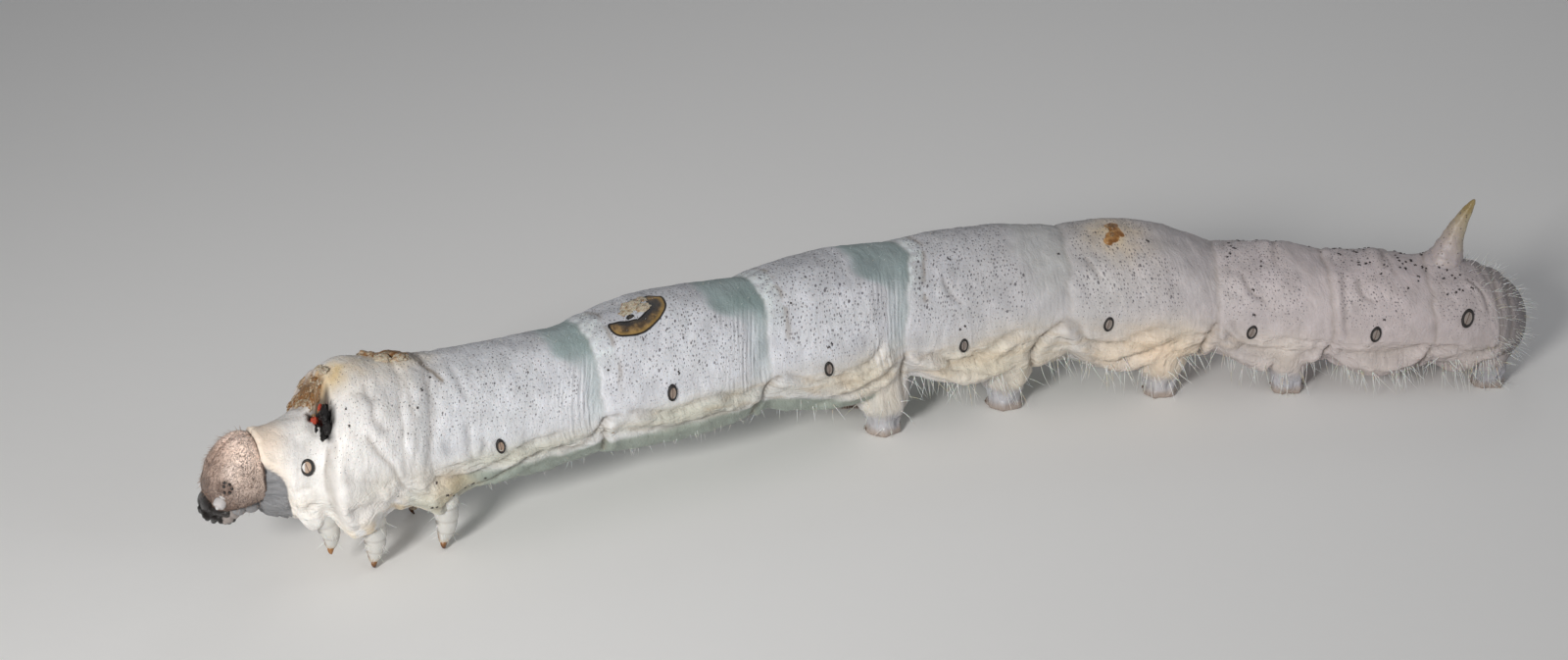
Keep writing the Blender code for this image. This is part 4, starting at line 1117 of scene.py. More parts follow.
paint = Paint("breathing hole", (0.02, 0.016, 0.014), 0.55)
plate_place, felt_colour = paint.layer("plate", "Vector"), paint.layer("felt", "Color")
plate_away = paint.node("VectorMath", "Value", {0: plate_place}, operation="LENGTH")
plate_slit = paint.maths("ABSOLUTE", paint.node("SeparateXYZ", "Y", {"Vector": plate_place}))
dim_felt = paint.mix(felt_colour, (0.5, 0.45, 0.42), 1.0, "MULTIPLY")
plate_colour = paint.mix(felt_colour, dim_felt, paint.step(paint.noise(9000.0, 3.0), 0.65, 0.35))
plate_colour = paint.mix((0.1, 0.06, 0.045), plate_colour, paint.step(plate_slit, 0.03, 0.12))
plate_colour = paint.mix(plate_colour, (0.012, 0.01, 0.009), paint.step(plate_away, 0.67, 0.73))
paint.plug("Base Color", plate_colour)
breathing_holes = add_object("breathing_holes", hole_bm, paint)
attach(breathing_holes, "root")

# ---- legs ----
# Three pairs of short jointed legs of clear, pale horn. Each is a collar, three drums and a foot, with soft
# brownish seams between them and a brown streak over the foot.

# Place along the spine, half the stance, the foot's height over the floor, and the lean towards the head
LEGS = ((2.95, 2.0, 1.25, 0.45), (5.1, 2.35, 0.0, 0.05), (9.05, 2.3, 0.0, -0.35))
LEG_INWARD, LEG_TOP_DROP, CLAW_LENGTH, KNEE_BEND = 0.35, 1.0, 0.5, 0.16
# Height over the foot, and radius
LEG_PROFILE = (
    (0.3, 0.1), (0.34, 0.19), (0.46, 0.27), (0.62, 0.34), (0.82, 0.41), (1.0, 0.46), (1.08, 0.455),
    (1.16, 0.5), (1.4, 0.56), (1.66, 0.6), (1.76, 0.58), (1.86, 0.63), (2.1, 0.68), (2.34, 0.7),
    (2.44, 0.68), (2.54, 0.74), (2.8, 0.78), (3.6, 0.78),
)
LEG_SEAMS = (1.06, 1.75, 2.43)
LEG_STATIONS, LEG_SIDES = 72, 30


def leg_centre(leg, sign, height):
    """The middle of a leg at a height over its foot, and the directions to the tail and outwards."""
    along, stance, foot_height, lean = leg
    middle, left, tailward = spine_frame(along)
    ankle, top = CLAW_LENGTH, middle[2] - foot_height - LEG_TOP_DROP
    share = max(0.0, (height - ankle) / (top - ankle))
    foot = middle + left * (stance * sign)
    bend = KNEE_BEND * math.sin(math.pi * min(share * 1.6, 1.0))
    place = foot + tailward * (bend - lean * share) + left * sign * (bend - LEG_INWARD * share)
    place[2] = foot_height + height
    return place, tailward, left * sign


leg_bm = bmesh.new()
leg_layer = leg_bm.verts.layers.float_color.new("tint")
leg_heights, leg_radii = np.array(LEG_PROFILE).T
for leg in LEGS:
    for sign in SIDES.values():
        heights = np.linspace(leg_heights[0], leg_heights[-1], LEG_STATIONS)
        centres = [leg_centre(leg, sign, height)[0] for height in heights]
        radii = np.interp(heights, leg_heights, leg_radii)
        radii = np.convolve(np.pad(radii, 1, mode="edge"), (0.25, 0.5, 0.25), mode="valid")
        middle, tailward, outward = leg_centre(leg, sign, 1.0)
        for vert, share, x, y in add_rod(leg_bm, centres, radii, LEG_SIDES, -tailward):
            height = float(leg_heights[0] + share * (leg_heights[-1] - leg_heights[0]))
            rough = noise.noise(vert.co * 1.7) * 0.05 + noise.noise(vert.co * 5.0) * 0.02
            place = Vector(centres[round(share * (LEG_STATIONS - 1))])
            vert.co += (vert.co - place) * (rough * 1.5)
            seam = max(math.exp(-(((height - at) / 0.055) ** 2)) for at in LEG_SEAMS)
            front = smooth((x * 0.75 - y * sign * 0.5 - 0.25) / 0.5)
            tint = coated(
                (0.6, 0.59, 0.56), ((0.76, 0.74, 0.69), rise(height, 2.3, 0.5)),
                ((0.52, 0.38, 0.2), 0.75 * fall(height, 0.8, 0.45)),
                ((0.2, 0.09, 0.03), 0.9 * front * bell(height - 0.75, 0.26)),
                ((0.22, 0.17, 0.12), 0.65 * seam * (0.35 + 0.65 * front)),
                ((0.05, 0.04, 0.035), 0.9 * front * bell(height - 1.62, 0.08))
            )
            vert[leg_layer] = (*tint, 1.0)

paint = Paint("leg horn", (0.7, 0.69, 0.66), 0.14, (0.4, 0.0006, (1.0, 0.8, 0.6)), Coat_Weight=0.4)
paint.grain(3500.0, 4.0, 0.4, 0.00004)
paint.plug("Base Color", paint.layer("tint", "Color"))
legs = add_object("legs", leg_bm, paint)
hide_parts(*[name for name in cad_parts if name.startswith("leg_")])
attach(legs, "root")

# ---- claws ----
# A single brown, curved claw at the end of each leg, and rings of tiny brown hooks round the soles of the
# prolegs, all of hard horn.

CLAW_RADII, CLAW_CURVE, CLAW_STATIONS, CLAW_SIDES = (0.2, 0.19, 0.16, 0.12, 0.075, 0.03), 0.16, 14, 16
HOOKS_A_SOLE, HOOK_LENGTH, HOOK_RADIUS, HOOK_ARC, HOOK_SIDES = 20, 0.26, 0.04, 150.0, 6
HOOK_BENDS = ((0.0, 0.0), (0.35, 0.1), (0.62, 0.04), (0.72, -0.1), (0.66, -0.34))
HOOK_RADII = [HOOK_RADIUS * size for size in (1.0, 0.95, 0.8, 0.55, 0.15)]
HOOK_ROWS, HOOK_FOOT = (0.84, 0.9), 0.16
claw_bm = bmesh.new()
for leg in LEGS:
    for sign in SIDES.values():
        foot, tailward, outward = leg_centre(leg, sign, 0.0)
        shares = np.linspace(0.0, 1.0, CLAW_STATIONS)
        bow = CLAW_CURVE * np.sin(np.pi * shares)
        centres = [
            foot + UP * (CLAW_LENGTH * (1.02 - share)) + outward * curve - tailward * curve * 0.6
            for share, curve in zip(shares, bow)
        ]
        radii = np.interp(shares, np.linspace(0.0, 1.0, len(CLAW_RADII)), CLAW_RADII)
        add_rod(claw_bm, centres, radii, CLAW_SIDES, tailward)
for spot, stance, thigh, waist, sole in PROLEGS:
    middle, left, tailward = spine_frame(spot)
    for sign in SIDES.values():
        foot = (middle + left * (stance * sign)) * (1.0, 1.0, 0.0)
        for index in range(HOOKS_A_SOLE):
            turn = math.radians(HOOK_ARC * (index / (HOOKS_A_SOLE - 1) - 0.5))
            out = -left * sign * math.cos(turn) + tailward * math.sin(turn)
            root = foot + out * (sole * HOOK_ROWS[index % 2]) + UP * HOOK_FOOT
            centres = [root + (out * reach + UP * up_by) * HOOK_LENGTH for reach, up_by in HOOK_BENDS]
            add_rod(claw_bm, centres, HOOK_RADII, HOOK_SIDES, UP + tailward * 0.01)
paint = Paint("claw horn", (0.16, 0.065, 0.022), 0.25)
claw_height = paint.node("SeparateXYZ", "Z", {"Vector": paint.node("TexCoord", "Object")})
claw_share = paint.step(claw_height, 0.0001, 0.0006)
paint.plug("Base Color", paint.mix((0.07, 0.025, 0.01), (0.3, 0.14, 0.05), claw_share))
claws = add_object("claws", claw_bm, paint)
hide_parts(*[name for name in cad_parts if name.startswith("claw_")])
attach(claws, "root")

# ---- horn ----
# The tail horn: a solid, translucent, yellowish spike that grows out of the skin in a wrinkled cone. It is
# one rod, slightly bent, with a lumpy surface whose lumps fade out towards its foot.

HORN_ALONG, HORN_LEAN, HORN_SINK = 69.9, 20.0, 0.9
# Height over the root, radius, and how far the line of the horn is bent towards the tail
HORN_PROFILE = (
    (0.0, 1.15, 0.0), (0.9, 1.12, -0.02), (1.4, 1.0, -0.06), (1.8, 0.84, -0.1), (2.3, 0.7, -0.12),
    (3.0, 0.53, -0.12), (3.8, 0.38, -0.07), (4.4, 0.28, 0.02), (4.85, 0.17, 0.1), (5.0, 0.1, 0.12),
    (5.07, 0.04, 0.13),
)
HORN_STATIONS, HORN_SIDES = 90, 40
horn_base, _, horn_tail = spine_frame(HORN_ALONG)
horn_radius = float(np.interp(HORN_ALONG, fine_places, fine_radius))
horn_root = horn_base + UP * (horn_radius - HORN_SINK)
horn_up = UP * math.cos(math.radians(HORN_LEAN)) + horn_tail * math.sin(math.radians(HORN_LEAN))
horn_back = horn_tail * math.cos(math.radians(HORN_LEAN)) - UP * math.sin(math.radians(HORN_LEAN))
horn_heights, horn_radii, horn_bends = np.array(HORN_PROFILE).T
heights = np.linspace(0.0, horn_heights[-1], HORN_STATIONS)
bends, radii = (np.interp(heights, horn_heights, numbers) for numbers in (horn_bends, horn_radii))
centres = [horn_root + horn_up * height + horn_back * bend for height, bend in zip(heights, bends)]
horn_bm = bmesh.new()
horn_layer = horn_bm.verts.layers.float_color.new("tint")
for vert, share, x, y in add_rod(horn_bm, centres, radii, HORN_SIDES, horn_tail):
    height = share * horn_heights[-1]
    place = Vector(centres[round(share * (HORN_STATIONS - 1))])
    grain = Vector((x * 1.6, y * 1.6, height * 2.2))
    rough = 0.1 * noise.noise(grain) + 0.05 * noise.noise(grain * 2.5)
    vert.co += (vert.co - place) * rough * float(rise(height, 0.0, 2.0))
    clear = rise(height, 1.6, 2.8)
    tint = coated(
        (0.45, 0.39, 0.38), ((0.38, 0.31, 0.2), clear),
        ((0.29, 0.21, 0.08), 0.85 * rise(height, 3.8, 0.7)),
        ((0.5, 0.43, 0.26), 0.35 * rise(height, 1.4, 1.2) * rise(x, 0.1, 0.6))
    )
    vert[horn_layer] = (*tint, 1.0)
paint = Paint("tail horn", (0.5, 0.4, 0.2), 0.4, (0.3, 0.0006, (1.0, 0.7, 0.35)))
horn_object = paint.node("TexCoord", "Object")
cell_away, cell_random = paint.cells(horn_object, 6500.0)
horn_spot = paint.maths("LESS_THAN", cell_away, paint.maths("MULTIPLY_ADD", cell_random["Red"], 0.55, -0.2))
paint.plug("Base Color", paint.coats(paint.layer("tint", "Color"), ((0.06, 0.045, 0.04), horn_spot, 0.75)))
paint.grain(2600.0, 5.0, 0.6, 0.00014, vector=horn_object)
horn = add_object("tail_horn", horn_bm, paint)
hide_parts("horn")
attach(horn, "root")

# ---- head ----
# A hard, domed, pinkish brown capsule, open behind where the neck comes out. A seam runs down from the crown
# and forks round the face plate above the upper lip. It is mottled, with fine dark hair strokes.

HEAD_ALONG, HEAD_HEIGHT, HEAD_TILT = -1.25, 6.15, 25.0
HEAD_HALF_HEIGHT, HEAD_HALF_WIDTH, HEAD_HALF_FRONT, HEAD_HALF_REAR = 2.45, 1.85, 1.52, 2.5
MOUTH_PLANE, MOUTH_TILT, HEAD_RIM_ALONG = 1.3, math.radians(28.0), 0.05
FORK_TOP, FORK_WIDTH, FACE_GROOVE, FACE_GROOVE_SPREAD = 0.35, 0.78, 0.1, 0.3
HEAD_SEGMENTS, HEAD_RINGS = 144, 110
# How much narrower each step into the mouth is, and how far up it lies
MOUTH_STEPS = ((0.92, 0.0), (0.8, 0.18), (0.45, 0.3), (0.05, 0.34))
# How far in, and how far forward, the rim at the neck is rolled in each step
NECK_ROLL = ((0.06, -0.05), (0.14, 0.02), (0.18, 0.25), (0.22, 0.6))
tilt = math.radians(HEAD_TILT)
head_middle, head_left, head_tail = spine_frame(HEAD_ALONG)
head_out = UP * math.sin(tilt) - head_tail * math.cos(tilt)
head_crown = UP * math.cos(tilt) + head_tail * math.sin(tilt)
HEAD = (
    Matrix.Translation((head_middle[0], head_middle[1], HEAD_HEIGHT))
    @ Matrix((head_out, head_left, head_crown)).transposed().to_4x4()
)


def head_relief(x, y, z):
    """How far the capsule stands out at a place of its plain egg."""
    front = rise(x, -0.2, 0.5)
    above = rise(z, FORK_TOP, 0.15)
    crest = max(front, float(rise(z, 0.4, 0.8)))
    height = -FACE_GROOVE * crest * bell(y, FACE_GROOVE_SPREAD) * (0.35 + 0.65 * above)
    height -= 0.07 * crest * above * bell(y, 0.055)
    down = (FORK_TOP - z) / (FORK_TOP + MOUTH_PLANE)
    fork = abs(y) - FORK_WIDTH * max(down, 0.0) ** 0.8
    height -= 0.06 * front * rise(down, 0.0, 0.05) * bell(fork, 0.06)
    height -= 0.05 * front * rise(down, 0.0, 0.1) * smooth(-fork / 0.1)
    height -= 0.06 * front * bell(z + 1.12, 0.05) * fall(abs(y), 0.75, 0.1)
    cheek = rise(-z, 0.7, 0.6) * rise(abs(y), 0.9, 0.4)
    height += 0.07 * cheek * bell(x + 0.35, 0.5)
    height -= 0.06 * bell(z + 1.05 - 0.35 * x, 0.07) * rise(abs(y), 1.0, 0.2) * fall(x, 0.5, 0.2)
    place = Vector((x, abs(y), z))
    return height + 0.035 * noise.noise(place * 1.4) + 0.01 * noise.noise(place * 4.5)


head_bm = bmesh.new()
bmesh.ops.create_uvsphere(head_bm, u_segments=HEAD_SEGMENTS, v_segments=HEAD_RINGS, radius=1.0)
for vert in head_bm.verts:
    out = vert.co.copy()
    depth = HEAD_HALF_FRONT if out.x > 0.0 else HEAD_HALF_REAR
    place = Vector((out.x * depth, out.y * HEAD_HALF_WIDTH, out.z * HEAD_HALF_HEIGHT))
    vert.co = place + out * float(head_relief(*place))


def trim(bm, point, normal):
    """Cuts off what lies past a plane, and gives the edges of the cut."""
    geom = bm.verts[:] + bm.edges[:] + bm.faces[:]
    bmesh.ops.bisect_plane(bm, geom=geom, plane_co=point, plane_no=normal, clear_outer=True)
    return [edge for edge in bm.edges if edge.is_boundary]


def pull_out(bm, edges):
    """Extrudes a rim, and gives its new edges and their vertices."""
    made = bmesh.ops.extrude_edge_only(bm, edges=edges)["geom"]
    edges = [item for item in made if isinstance(item, bmesh.types.BMEdge)]
    return edges, {vert for edge in edges for vert in edge.verts}


mouth_edges = trim(head_bm, (0.0, 0.0, -MOUTH_PLANE), (-math.sin(MOUTH_TILT), 0.0, -math.cos(MOUTH_TILT)))
for inset, up_by in MOUTH_STEPS:
    mouth_edges, verts = pull_out(head_bm, mouth_edges)
    for vert in verts:
        side_out = Vector((vert.co.x, vert.co.y, 0.0)) * (inset * 0.96)
        vert.co = side_out + Vector((0.0, 0.0, up_by - MOUTH_PLANE - math.tan(MOUTH_TILT) * side_out.x))
bmesh.ops.holes_fill(head_bm, edges=mouth_edges)
bmesh.ops.transform(head_bm, matrix=HEAD, verts=head_bm.verts)
rim_middle, _, rim_tail = spine_frame(HEAD_RIM_ALONG)
rim_edges = trim(head_bm, Vector(rim_middle), Vector(rim_tail))
rim_centre = Vector(rim_middle)
rim_centre.z = HEAD_HEIGHT
for inward, forward_by in NECK_ROLL:
    rim_edges, verts = pull_out(head_bm, rim_edges)
    for vert in verts:
        across = vert.co - rim_centre
        vert.co -= across.normalized() * (inward * 0.6) + Vector(rim_tail) * forward_by * 0.5
bmesh.ops.recalc_face_normals(head_bm, faces=head_bm.faces)

head_layer = head_bm.verts.layers.float_color.new("tint")
face_layer = head_bm.verts.layers.float_vector.new("face")
to_head = HEAD.inverted()
for vert in head_bm.verts:
    x, y, z = to_head @ vert.co
    rear = (vert.co - rim_centre).dot(Vector(rim_tail))
    seam = bell(y, 0.07) * rise(z, FORK_TOP, 0.1) * smooth((max(x, z) - 0.3) / 0.4)
    eye_gap = math.hypot(x - 0.82, z + 0.22)
    mouth_edge = smooth((-z - math.tan(MOUTH_TILT) * x - MOUTH_PLANE + 0.1) / 0.1)
    tint = coated(
        (0.6, 0.46, 0.39), ((0.72, 0.57, 0.48), 0.6 * bell(z - 0.6, 1.2) * rise(abs(y), 0.3, 0.8)),
        ((0.26, 0.15, 0.1), 0.8 * rise(-z, 0.45, 0.9)),
        ((0.3, 0.19, 0.14), 0.55 * rise(x, 0.7, 0.7)),
        ((0.2, 0.11, 0.07), 0.6 * rise(-z, 0.2, 0.6) * rise(-x, 0.2, 0.8))
    )
    # Painted light and shade: the tint is lightened towards the crown and darkened towards the mouth
    tint = coated(
        tint * (1.0 + 0.8 * rise(z, 0.6, 1.3) - 0.5 * fall(z, 0.5, 1.3)),
        ((0.24, 0.14, 0.09), 0.5 * seam), ((0.1, 0.06, 0.045), rise(rear, -0.16, 0.1)),
        ((0.02, 0.014, 0.012), mouth_edge),
        ((0.12, 0.07, 0.05), 0.85 * bell(max(eye_gap - 0.3, 0.0), 0.1) * smooth(abs(y) - 0.5))
    )
    vert[head_layer] = (*tint, 1.0)
    vert[face_layer] = (x, y, z)

paint = Paint("head shell", (0.5, 0.35, 0.27), 0.4, (0.08, 0.0004, (1.0, 0.6, 0.4)))
face_place = paint.layer("face", "Vector")
stroke_net = paint.noise(
    1.0, 3.0, paint.stretch(face_place, 7.0, 7.0, 3.2), Roughness=0.6, Distortion=1.6
)
stroke_away = paint.maths("ABSOLUTE", paint.maths("SUBTRACT", stroke_net, 0.5))
stroke_gaps = paint.step(paint.noise(1.6, 3.0, face_place), 0.36, 0.6)
stroke_depth = paint.maths("MULTIPLY_ADD", stroke_gaps, 0.4, 0.6)
stroke = paint.times(paint.step(stroke_away, 0.06, 0.026), stroke_depth)
fine_net = paint.noise(9.0, 4.0, face_place, Roughness=0.65)
paint.plug("Base Color", paint.coats(
    paint.layer("tint", "Color"), ((0.66, 0.5, 0.42), paint.step(fine_net, 0.45, 0.75), 0.45),
    ((0.04, 0.022, 0.017), stroke, 0.92)
))
paint.plug("Normal", paint.bump(stroke, 0.3, 0.00003, paint.bump(fine_net, 0.35, 0.00006)))
head = add_object("head_capsule", head_bm, paint)
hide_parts("head")
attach(head, "root")

# ---- eyes ----
# Six small glossy lenses on each side of the face, five in an arc and one inside it. Each is a dark bead,
# half sunk in the capsule.

EYES_FORWARD, EYES_DOWN, EYE_RADIUS, EYE_ARC_RADIUS = 0.8, 0.2, 0.088, 0.27
EYE_TURNS, INNER_EYE, EYE_SINK = (60.0, 112.0, 164.0, 216.0, 268.0), (0.1, 0.02), 0.02
eye_bm = bmesh.new()
eye_turns = np.radians(EYE_TURNS)
eye_spots = [(EYE_ARC_RADIUS * math.cos(turn), EYE_ARC_RADIUS * math.sin(turn)) for turn in eye_turns]
for sign in SIDES.values():
    for forward_by, up_by in (*eye_spots, INNER_EYE):
        x, z = EYES_FORWARD + forward_by, up_by - EYES_DOWN
        share = 1.0 - (x / HEAD_HALF_FRONT) ** 2 - (z / HEAD_HALF_HEIGHT) ** 2
        y = HEAD_HALF_WIDTH * math.sqrt(share)
        normal = Vector(
            (x / HEAD_HALF_FRONT**2, y / HEAD_HALF_WIDTH**2, z / HEAD_HALF_HEIGHT**2)
        ).normalized()
        place = Vector((x, y, z)) + normal * (float(head_relief(x, y, z)) - EYE_SINK)
        place.y *= sign
        seat = HEAD @ Matrix.Translation(place)
        bmesh.ops.create_icosphere(eye_bm, subdivisions=3, radius=EYE_RADIUS, matrix=seat)
eyes = add_object("eyes", eye_bm, Paint("eye lens", (0.014, 0.01, 0.008), 0.14, Coat_Weight=0.3))
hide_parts("eyes_left", "eyes_right")
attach(eyes, "root")

# ---- jaws ----
# The notched upper lip and the pair of toothed jaws under it are thick black-brown horn, wet and glossy.
# They are swollen lumps, and a row of small blunt teeth runs along the jaws' lower edges.

JAW_TEETH, TOOTH_SIZE = 14, (0.17, 0.17, 0.17)
jaw_bm = bmesh.new()


def add_lump(bm, middle, size, lumps, grain=2.0, subdivisions=4):
    """An egg-shaped lump in the head's frame. Gives its vertices in the order they were made."""
    made = bmesh.ops.create_icosphere(bm, subdivisions=subdivisions, radius=1.0)["verts"]
    for vert in made:
        out = vert.co.copy()
        swell = 1.0 + lumps * noise.noise(out * grain + Vector(middle))
        vert.co = Vector([out[i] * size[i] for i in range(3)]) * swell + Vector(middle)
    return made


for vert in add_lump(jaw_bm, (0.92, 0.0, -1.62), (0.4, 0.86, 0.58), 0.05):
    notch = bell(vert.co.y, 0.16) * rise(-vert.co.z, 1.6, 0.3)
    vert.co.z += 0.3 * float(notch)
for sign in SIDES.values():
    for vert in add_lump(jaw_bm, (0.28, 0.68 * sign, -1.78), (0.76, 0.56, 0.78), 0.14, 2.6):
        low = rise(-vert.co.z, 1.8, 0.4)
        vert.co.y -= 0.4 * sign * float(low)
        vert.co.z -= 0.1 * float(low) * math.cos(vert.co.x * 16.0)
    for index in range(JAW_TEETH):
        x, y = 1.02 - 0.12 * index, 0.22 + 0.12 * (index % 5)
        z = -2.14 - 0.24 * math.sin(index * 2.2) ** 2
        add_lump(jaw_bm, (x, y * sign, z), TOOTH_SIZE, 0.12, subdivisions=3)
bmesh.ops.transform(jaw_bm, matrix=HEAD, verts=jaw_bm.verts)
paint = Paint("jaw horn", (0.01, 0.006, 0.005), 0.12, Coat_Weight=0.5, Coat_Roughness=0.05)
jaw_bump = paint.bump(paint.noise(3200.0, 3.0), 0.7, 0.0001)
paint.plug("Normal", jaw_bump)
paint.plug("Coat Normal", jaw_bump)
jaws = add_object("jaws", jaw_bm, paint)
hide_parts("labrum", "mandible_left", "mandible_right")
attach(jaws, "root")

# ---- feelers and lower lip ----
# Soft grey parts round the mouth: a stout three-jointed feeler beside each jaw, the jointed side lips, and
# the lower lip with the spout for the silk.

feeler_bm = bmesh.new()
feeler_layer = feeler_bm.verts.layers.float_color.new("tint")
FEELER_GREY, LIP_BROWN = (0.56, 0.53, 0.52, 1.0), (0.3, 0.26, 0.24, 1.0)
PAD_GREY, LIP_GREY = (0.27, 0.265, 0.27, 1.0), (0.36, 0.33, 0.32, 1.0)
JOINT_SHARES, FEELER_SIDES = (0.0, 0.1, 0.5, 0.86, 0.97), 22


def add_joints(root, run, joints, tint):
    """A row of short joints, each with its length and its two radii, along one line."""
    heights, radii, reach = [], [], 0.0
    for length, start, end in joints:
        swell = max(start, end) * 1.04
        heights += [reach + share * length for share in JOINT_SHARES]
        radii += [start * 0.86, start, swell, end, end * 0.8]
        reach += length
    heights.append(reach + 0.02)
    radii.append(radii[-1] * 0.5)
    fine = np.linspace(0.0, heights[-1], 8 * len(joints) + 6)
    centres = [np.array(root + run * height) for height in fine]
    radii = np.interp(fine, heights, radii)
    for vert, *_ in add_rod(feeler_bm, centres, radii, FEELER_SIDES, np.array([1.0, 0.1, 0.0])):
        vert[feeler_layer] = tint


for sign in SIDES.values():
    run = Vector((0.45, 0.42 * sign, -1.0)).normalized()
    add_joints(
        Vector((0.6, 1.18 * sign, -0.86)), run, ((0.16, 0.37, 0.35), (0.46, 0.34, 0.31), (0.1, 0.11, 0.07)),
        FEELER_GREY
    )
    add_joints(
        Vector((-0.35, 0.8 * sign, -1.35)), Vector((0.3, 0.05 * sign, -1.0)).normalized(),
        ((0.6, 0.44, 0.42), (0.34, 0.3, 0.26), (0.16, 0.14, 0.1)), LIP_BROWN
    )
    for spot, size in (
        ((-0.42, 1.0 * sign, -1.36), (0.44, 0.42, 0.4)), ((-1.02, 0.9 * sign, -1.1), (0.54, 0.46, 0.42))
    ):
        for vert in add_lump(feeler_bm, spot, size, 0.06, 1.6):
            vert[feeler_layer] = PAD_GREY
add_joints(
    Vector((-0.68, 0.0, -1.4)), Vector((0.15, 0.0, -1.0)).normalized(),
    ((0.45, 0.5, 0.44), (0.3, 0.3, 0.24), (0.25, 0.13, 0.08)), LIP_BROWN
)
for vert in add_lump(feeler_bm, (-1.0, 0.0, -1.45), (0.55, 0.5, 0.45), 0.1, 2.2):
    vert[feeler_layer] = LIP_GREY
bmesh.ops.transform(feeler_bm, matrix=HEAD, verts=feeler_bm.verts)
paint = Paint("feeler skin", (0.5, 0.48, 0.46), 0.25, (0.25, 0.0004, (1.0, 0.8, 0.7)))
paint.grain(4200.0, 4.0, 0.5, 0.00006)
paint.plug("Base Color", paint.layer("tint", "Color"))
feelers = add_object("feelers", feeler_bm, paint)
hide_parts("labium", "maxilla_left", "maxilla_right", "antenna_left", "antenna_right")
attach(feelers, "root")

# ---- scabs and flecks ----
# Dried crusts on the healed wounds, brown with flakes of white, and small black flecks scattered on the
# skin. The crusts are ragged lumps that dried where they lie, and the flecks are thin splinters.

# Place along the body and round it, half the length along and round, thickness, how brown the crust is
CRUSTS = (
    (8.0, -10, 0.85, 0.7, 0.3, 0.8), (7.5, -2, 0.45, 0.4, 0.34, 0.1), (8.4, 2, 0.5, 0.35, 0.24, 0.3),
    (7.2, -18, 0.5, 0.5, 0.26, 0.5), (4.2, -36, 0.3, 0.4, 0.14, 0.5), (4.3, -4, 0.24, 0.5, 0.12, 0.1),
    (4.45, -18, 0.26, 0.44, 0.12, 0.05), (21.6, 6, 0.6, 0.5, 0.12, 0.05), (22.1, 13, 0.44, 0.36, 0.1, 0.15),
    (21.1, 12, 0.4, 0.26, 0.08, 0.25), (22.3, 2, 0.34, 0.4, 0.08, 0.3), (51.0, 8, 0.26, 0.34, 0.1, 0.9),
    (50.9, 17, 0.2, 0.22, 0.08, 0.9), (10.2, 128, 0.12, 0.12, 0.06, 0.3), (20.0, 112, 0.12, 0.1, 0.05, 0.5),
)
WAX_FLAKES = 34
CRUST_BROWN, CRUST_DARK, CRUST_WHITE = (0.36, 0.17, 0.05), (0.09, 0.04, 0.015), (0.78, 0.68, 0.52)


def add_clump(bm, seat, lift, under, halves, grain, waves):
    """A ragged lump on the skin. Gives each vertex with its place on the round ball it was made from."""
    place, out, tail, around = seat
    made = []
    for vert in bmesh.ops.create_icosphere(bm, subdivisions=4, radius=1.0)["verts"]:
        unit = vert.co.copy()
        ragged = sum((height * noise.noise(unit * fine + grain) for height, fine in waves), 1.0)
        spread = (
            tail * (unit.x * halves[0]) + around * (unit.y * halves[1]) + out * (unit.z * halves[2] + lift)
        )
        vert.co = Vector(place + out * under + spread * ragged)
        made.append((vert, unit))
    return made


crust_bm = bmesh.new()
crust_layer = crust_bm.verts.layers.float_color.new("tint")
draw = np.random.default_rng(7)
FLAKE_RANGES = ((3.35, 4.1), (-52.0, 9.0), (0.12, 0.3), (0.14, 0.38), (0.08, 0.18), (0.3, 1.0))
flakes = [[draw.uniform(*ends) for ends in FLAKE_RANGES] for index in range(WAX_FLAKES)]
crusts = [*CRUSTS, *flakes]
for numbers, *seat in zip(crusts, *skin_frames(*np.array(crusts).T[:2], 0.5)):
    along, angle, *halves, brown = numbers
    grain = Vector((along, angle * 0.1, 0.0))
    for vert, unit in add_clump(crust_bm, seat, -0.03, 0.0, halves, grain, ((0.42, 1.9), (0.16, 5.0))):
        share = smooth(brown + 0.9 * noise.noise(unit * 2.6 + grain))
        dark = brown * rise(noise.noise(unit * 3.7 + grain * 2.0), 0.05, 0.4)
        vert[crust_layer] = (*coated(CRUST_WHITE, (CRUST_BROWN, share), (CRUST_DARK, dark)), 1.0)
paint = Paint("scab", (0.4, 0.25, 0.1), 0.55, (0.1, 0.0003))
crust_spot = paint.step(paint.grain(5200.0, 5.0, 0.8, 0.00008, Roughness=0.65), 0.46, 0.62)
paint.plug("Base Color", paint.coats(paint.layer("tint", "Color"), ((0.13, 0.06, 0.025), crust_spot, 0.5)))
scabs = add_object("scabs", crust_bm, paint)
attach(scabs, "root")

# The deep wound is packed with dried black blood, and a little red flesh shows near its upper end. Place
# along the body and round it, height over the hole's floor, half the length along and round, thickness
CLOTS = (
    (3.4, 8, 0.3, 0.26, 0.3, 0.34), (3.74, 12, 0.3, 0.26, 0.34, 0.34), (3.46, 18, 0.22, 0.28, 0.34, 0.34),
    (4.06, 22, 0.34, 0.24, 0.4, 0.4), (3.8, 29, 0.24, 0.26, 0.34, 0.34), (4.22, 32, 0.36, 0.2, 0.4, 0.36),
    (3.98, 38, 0.26, 0.24, 0.34, 0.32), (4.3, 44, 0.3, 0.18, 0.34, 0.3), (4.12, 48, 0.16, 0.14, 0.26, 0.24),
)
FLESH = (
    (3.72, 16, 0.62, 0.2, 0.26, 0.22), (3.8, 23, 0.56, 0.13, 0.26, 0.2), (3.98, 15, 0.56, 0.14, 0.14, 0.16)
)
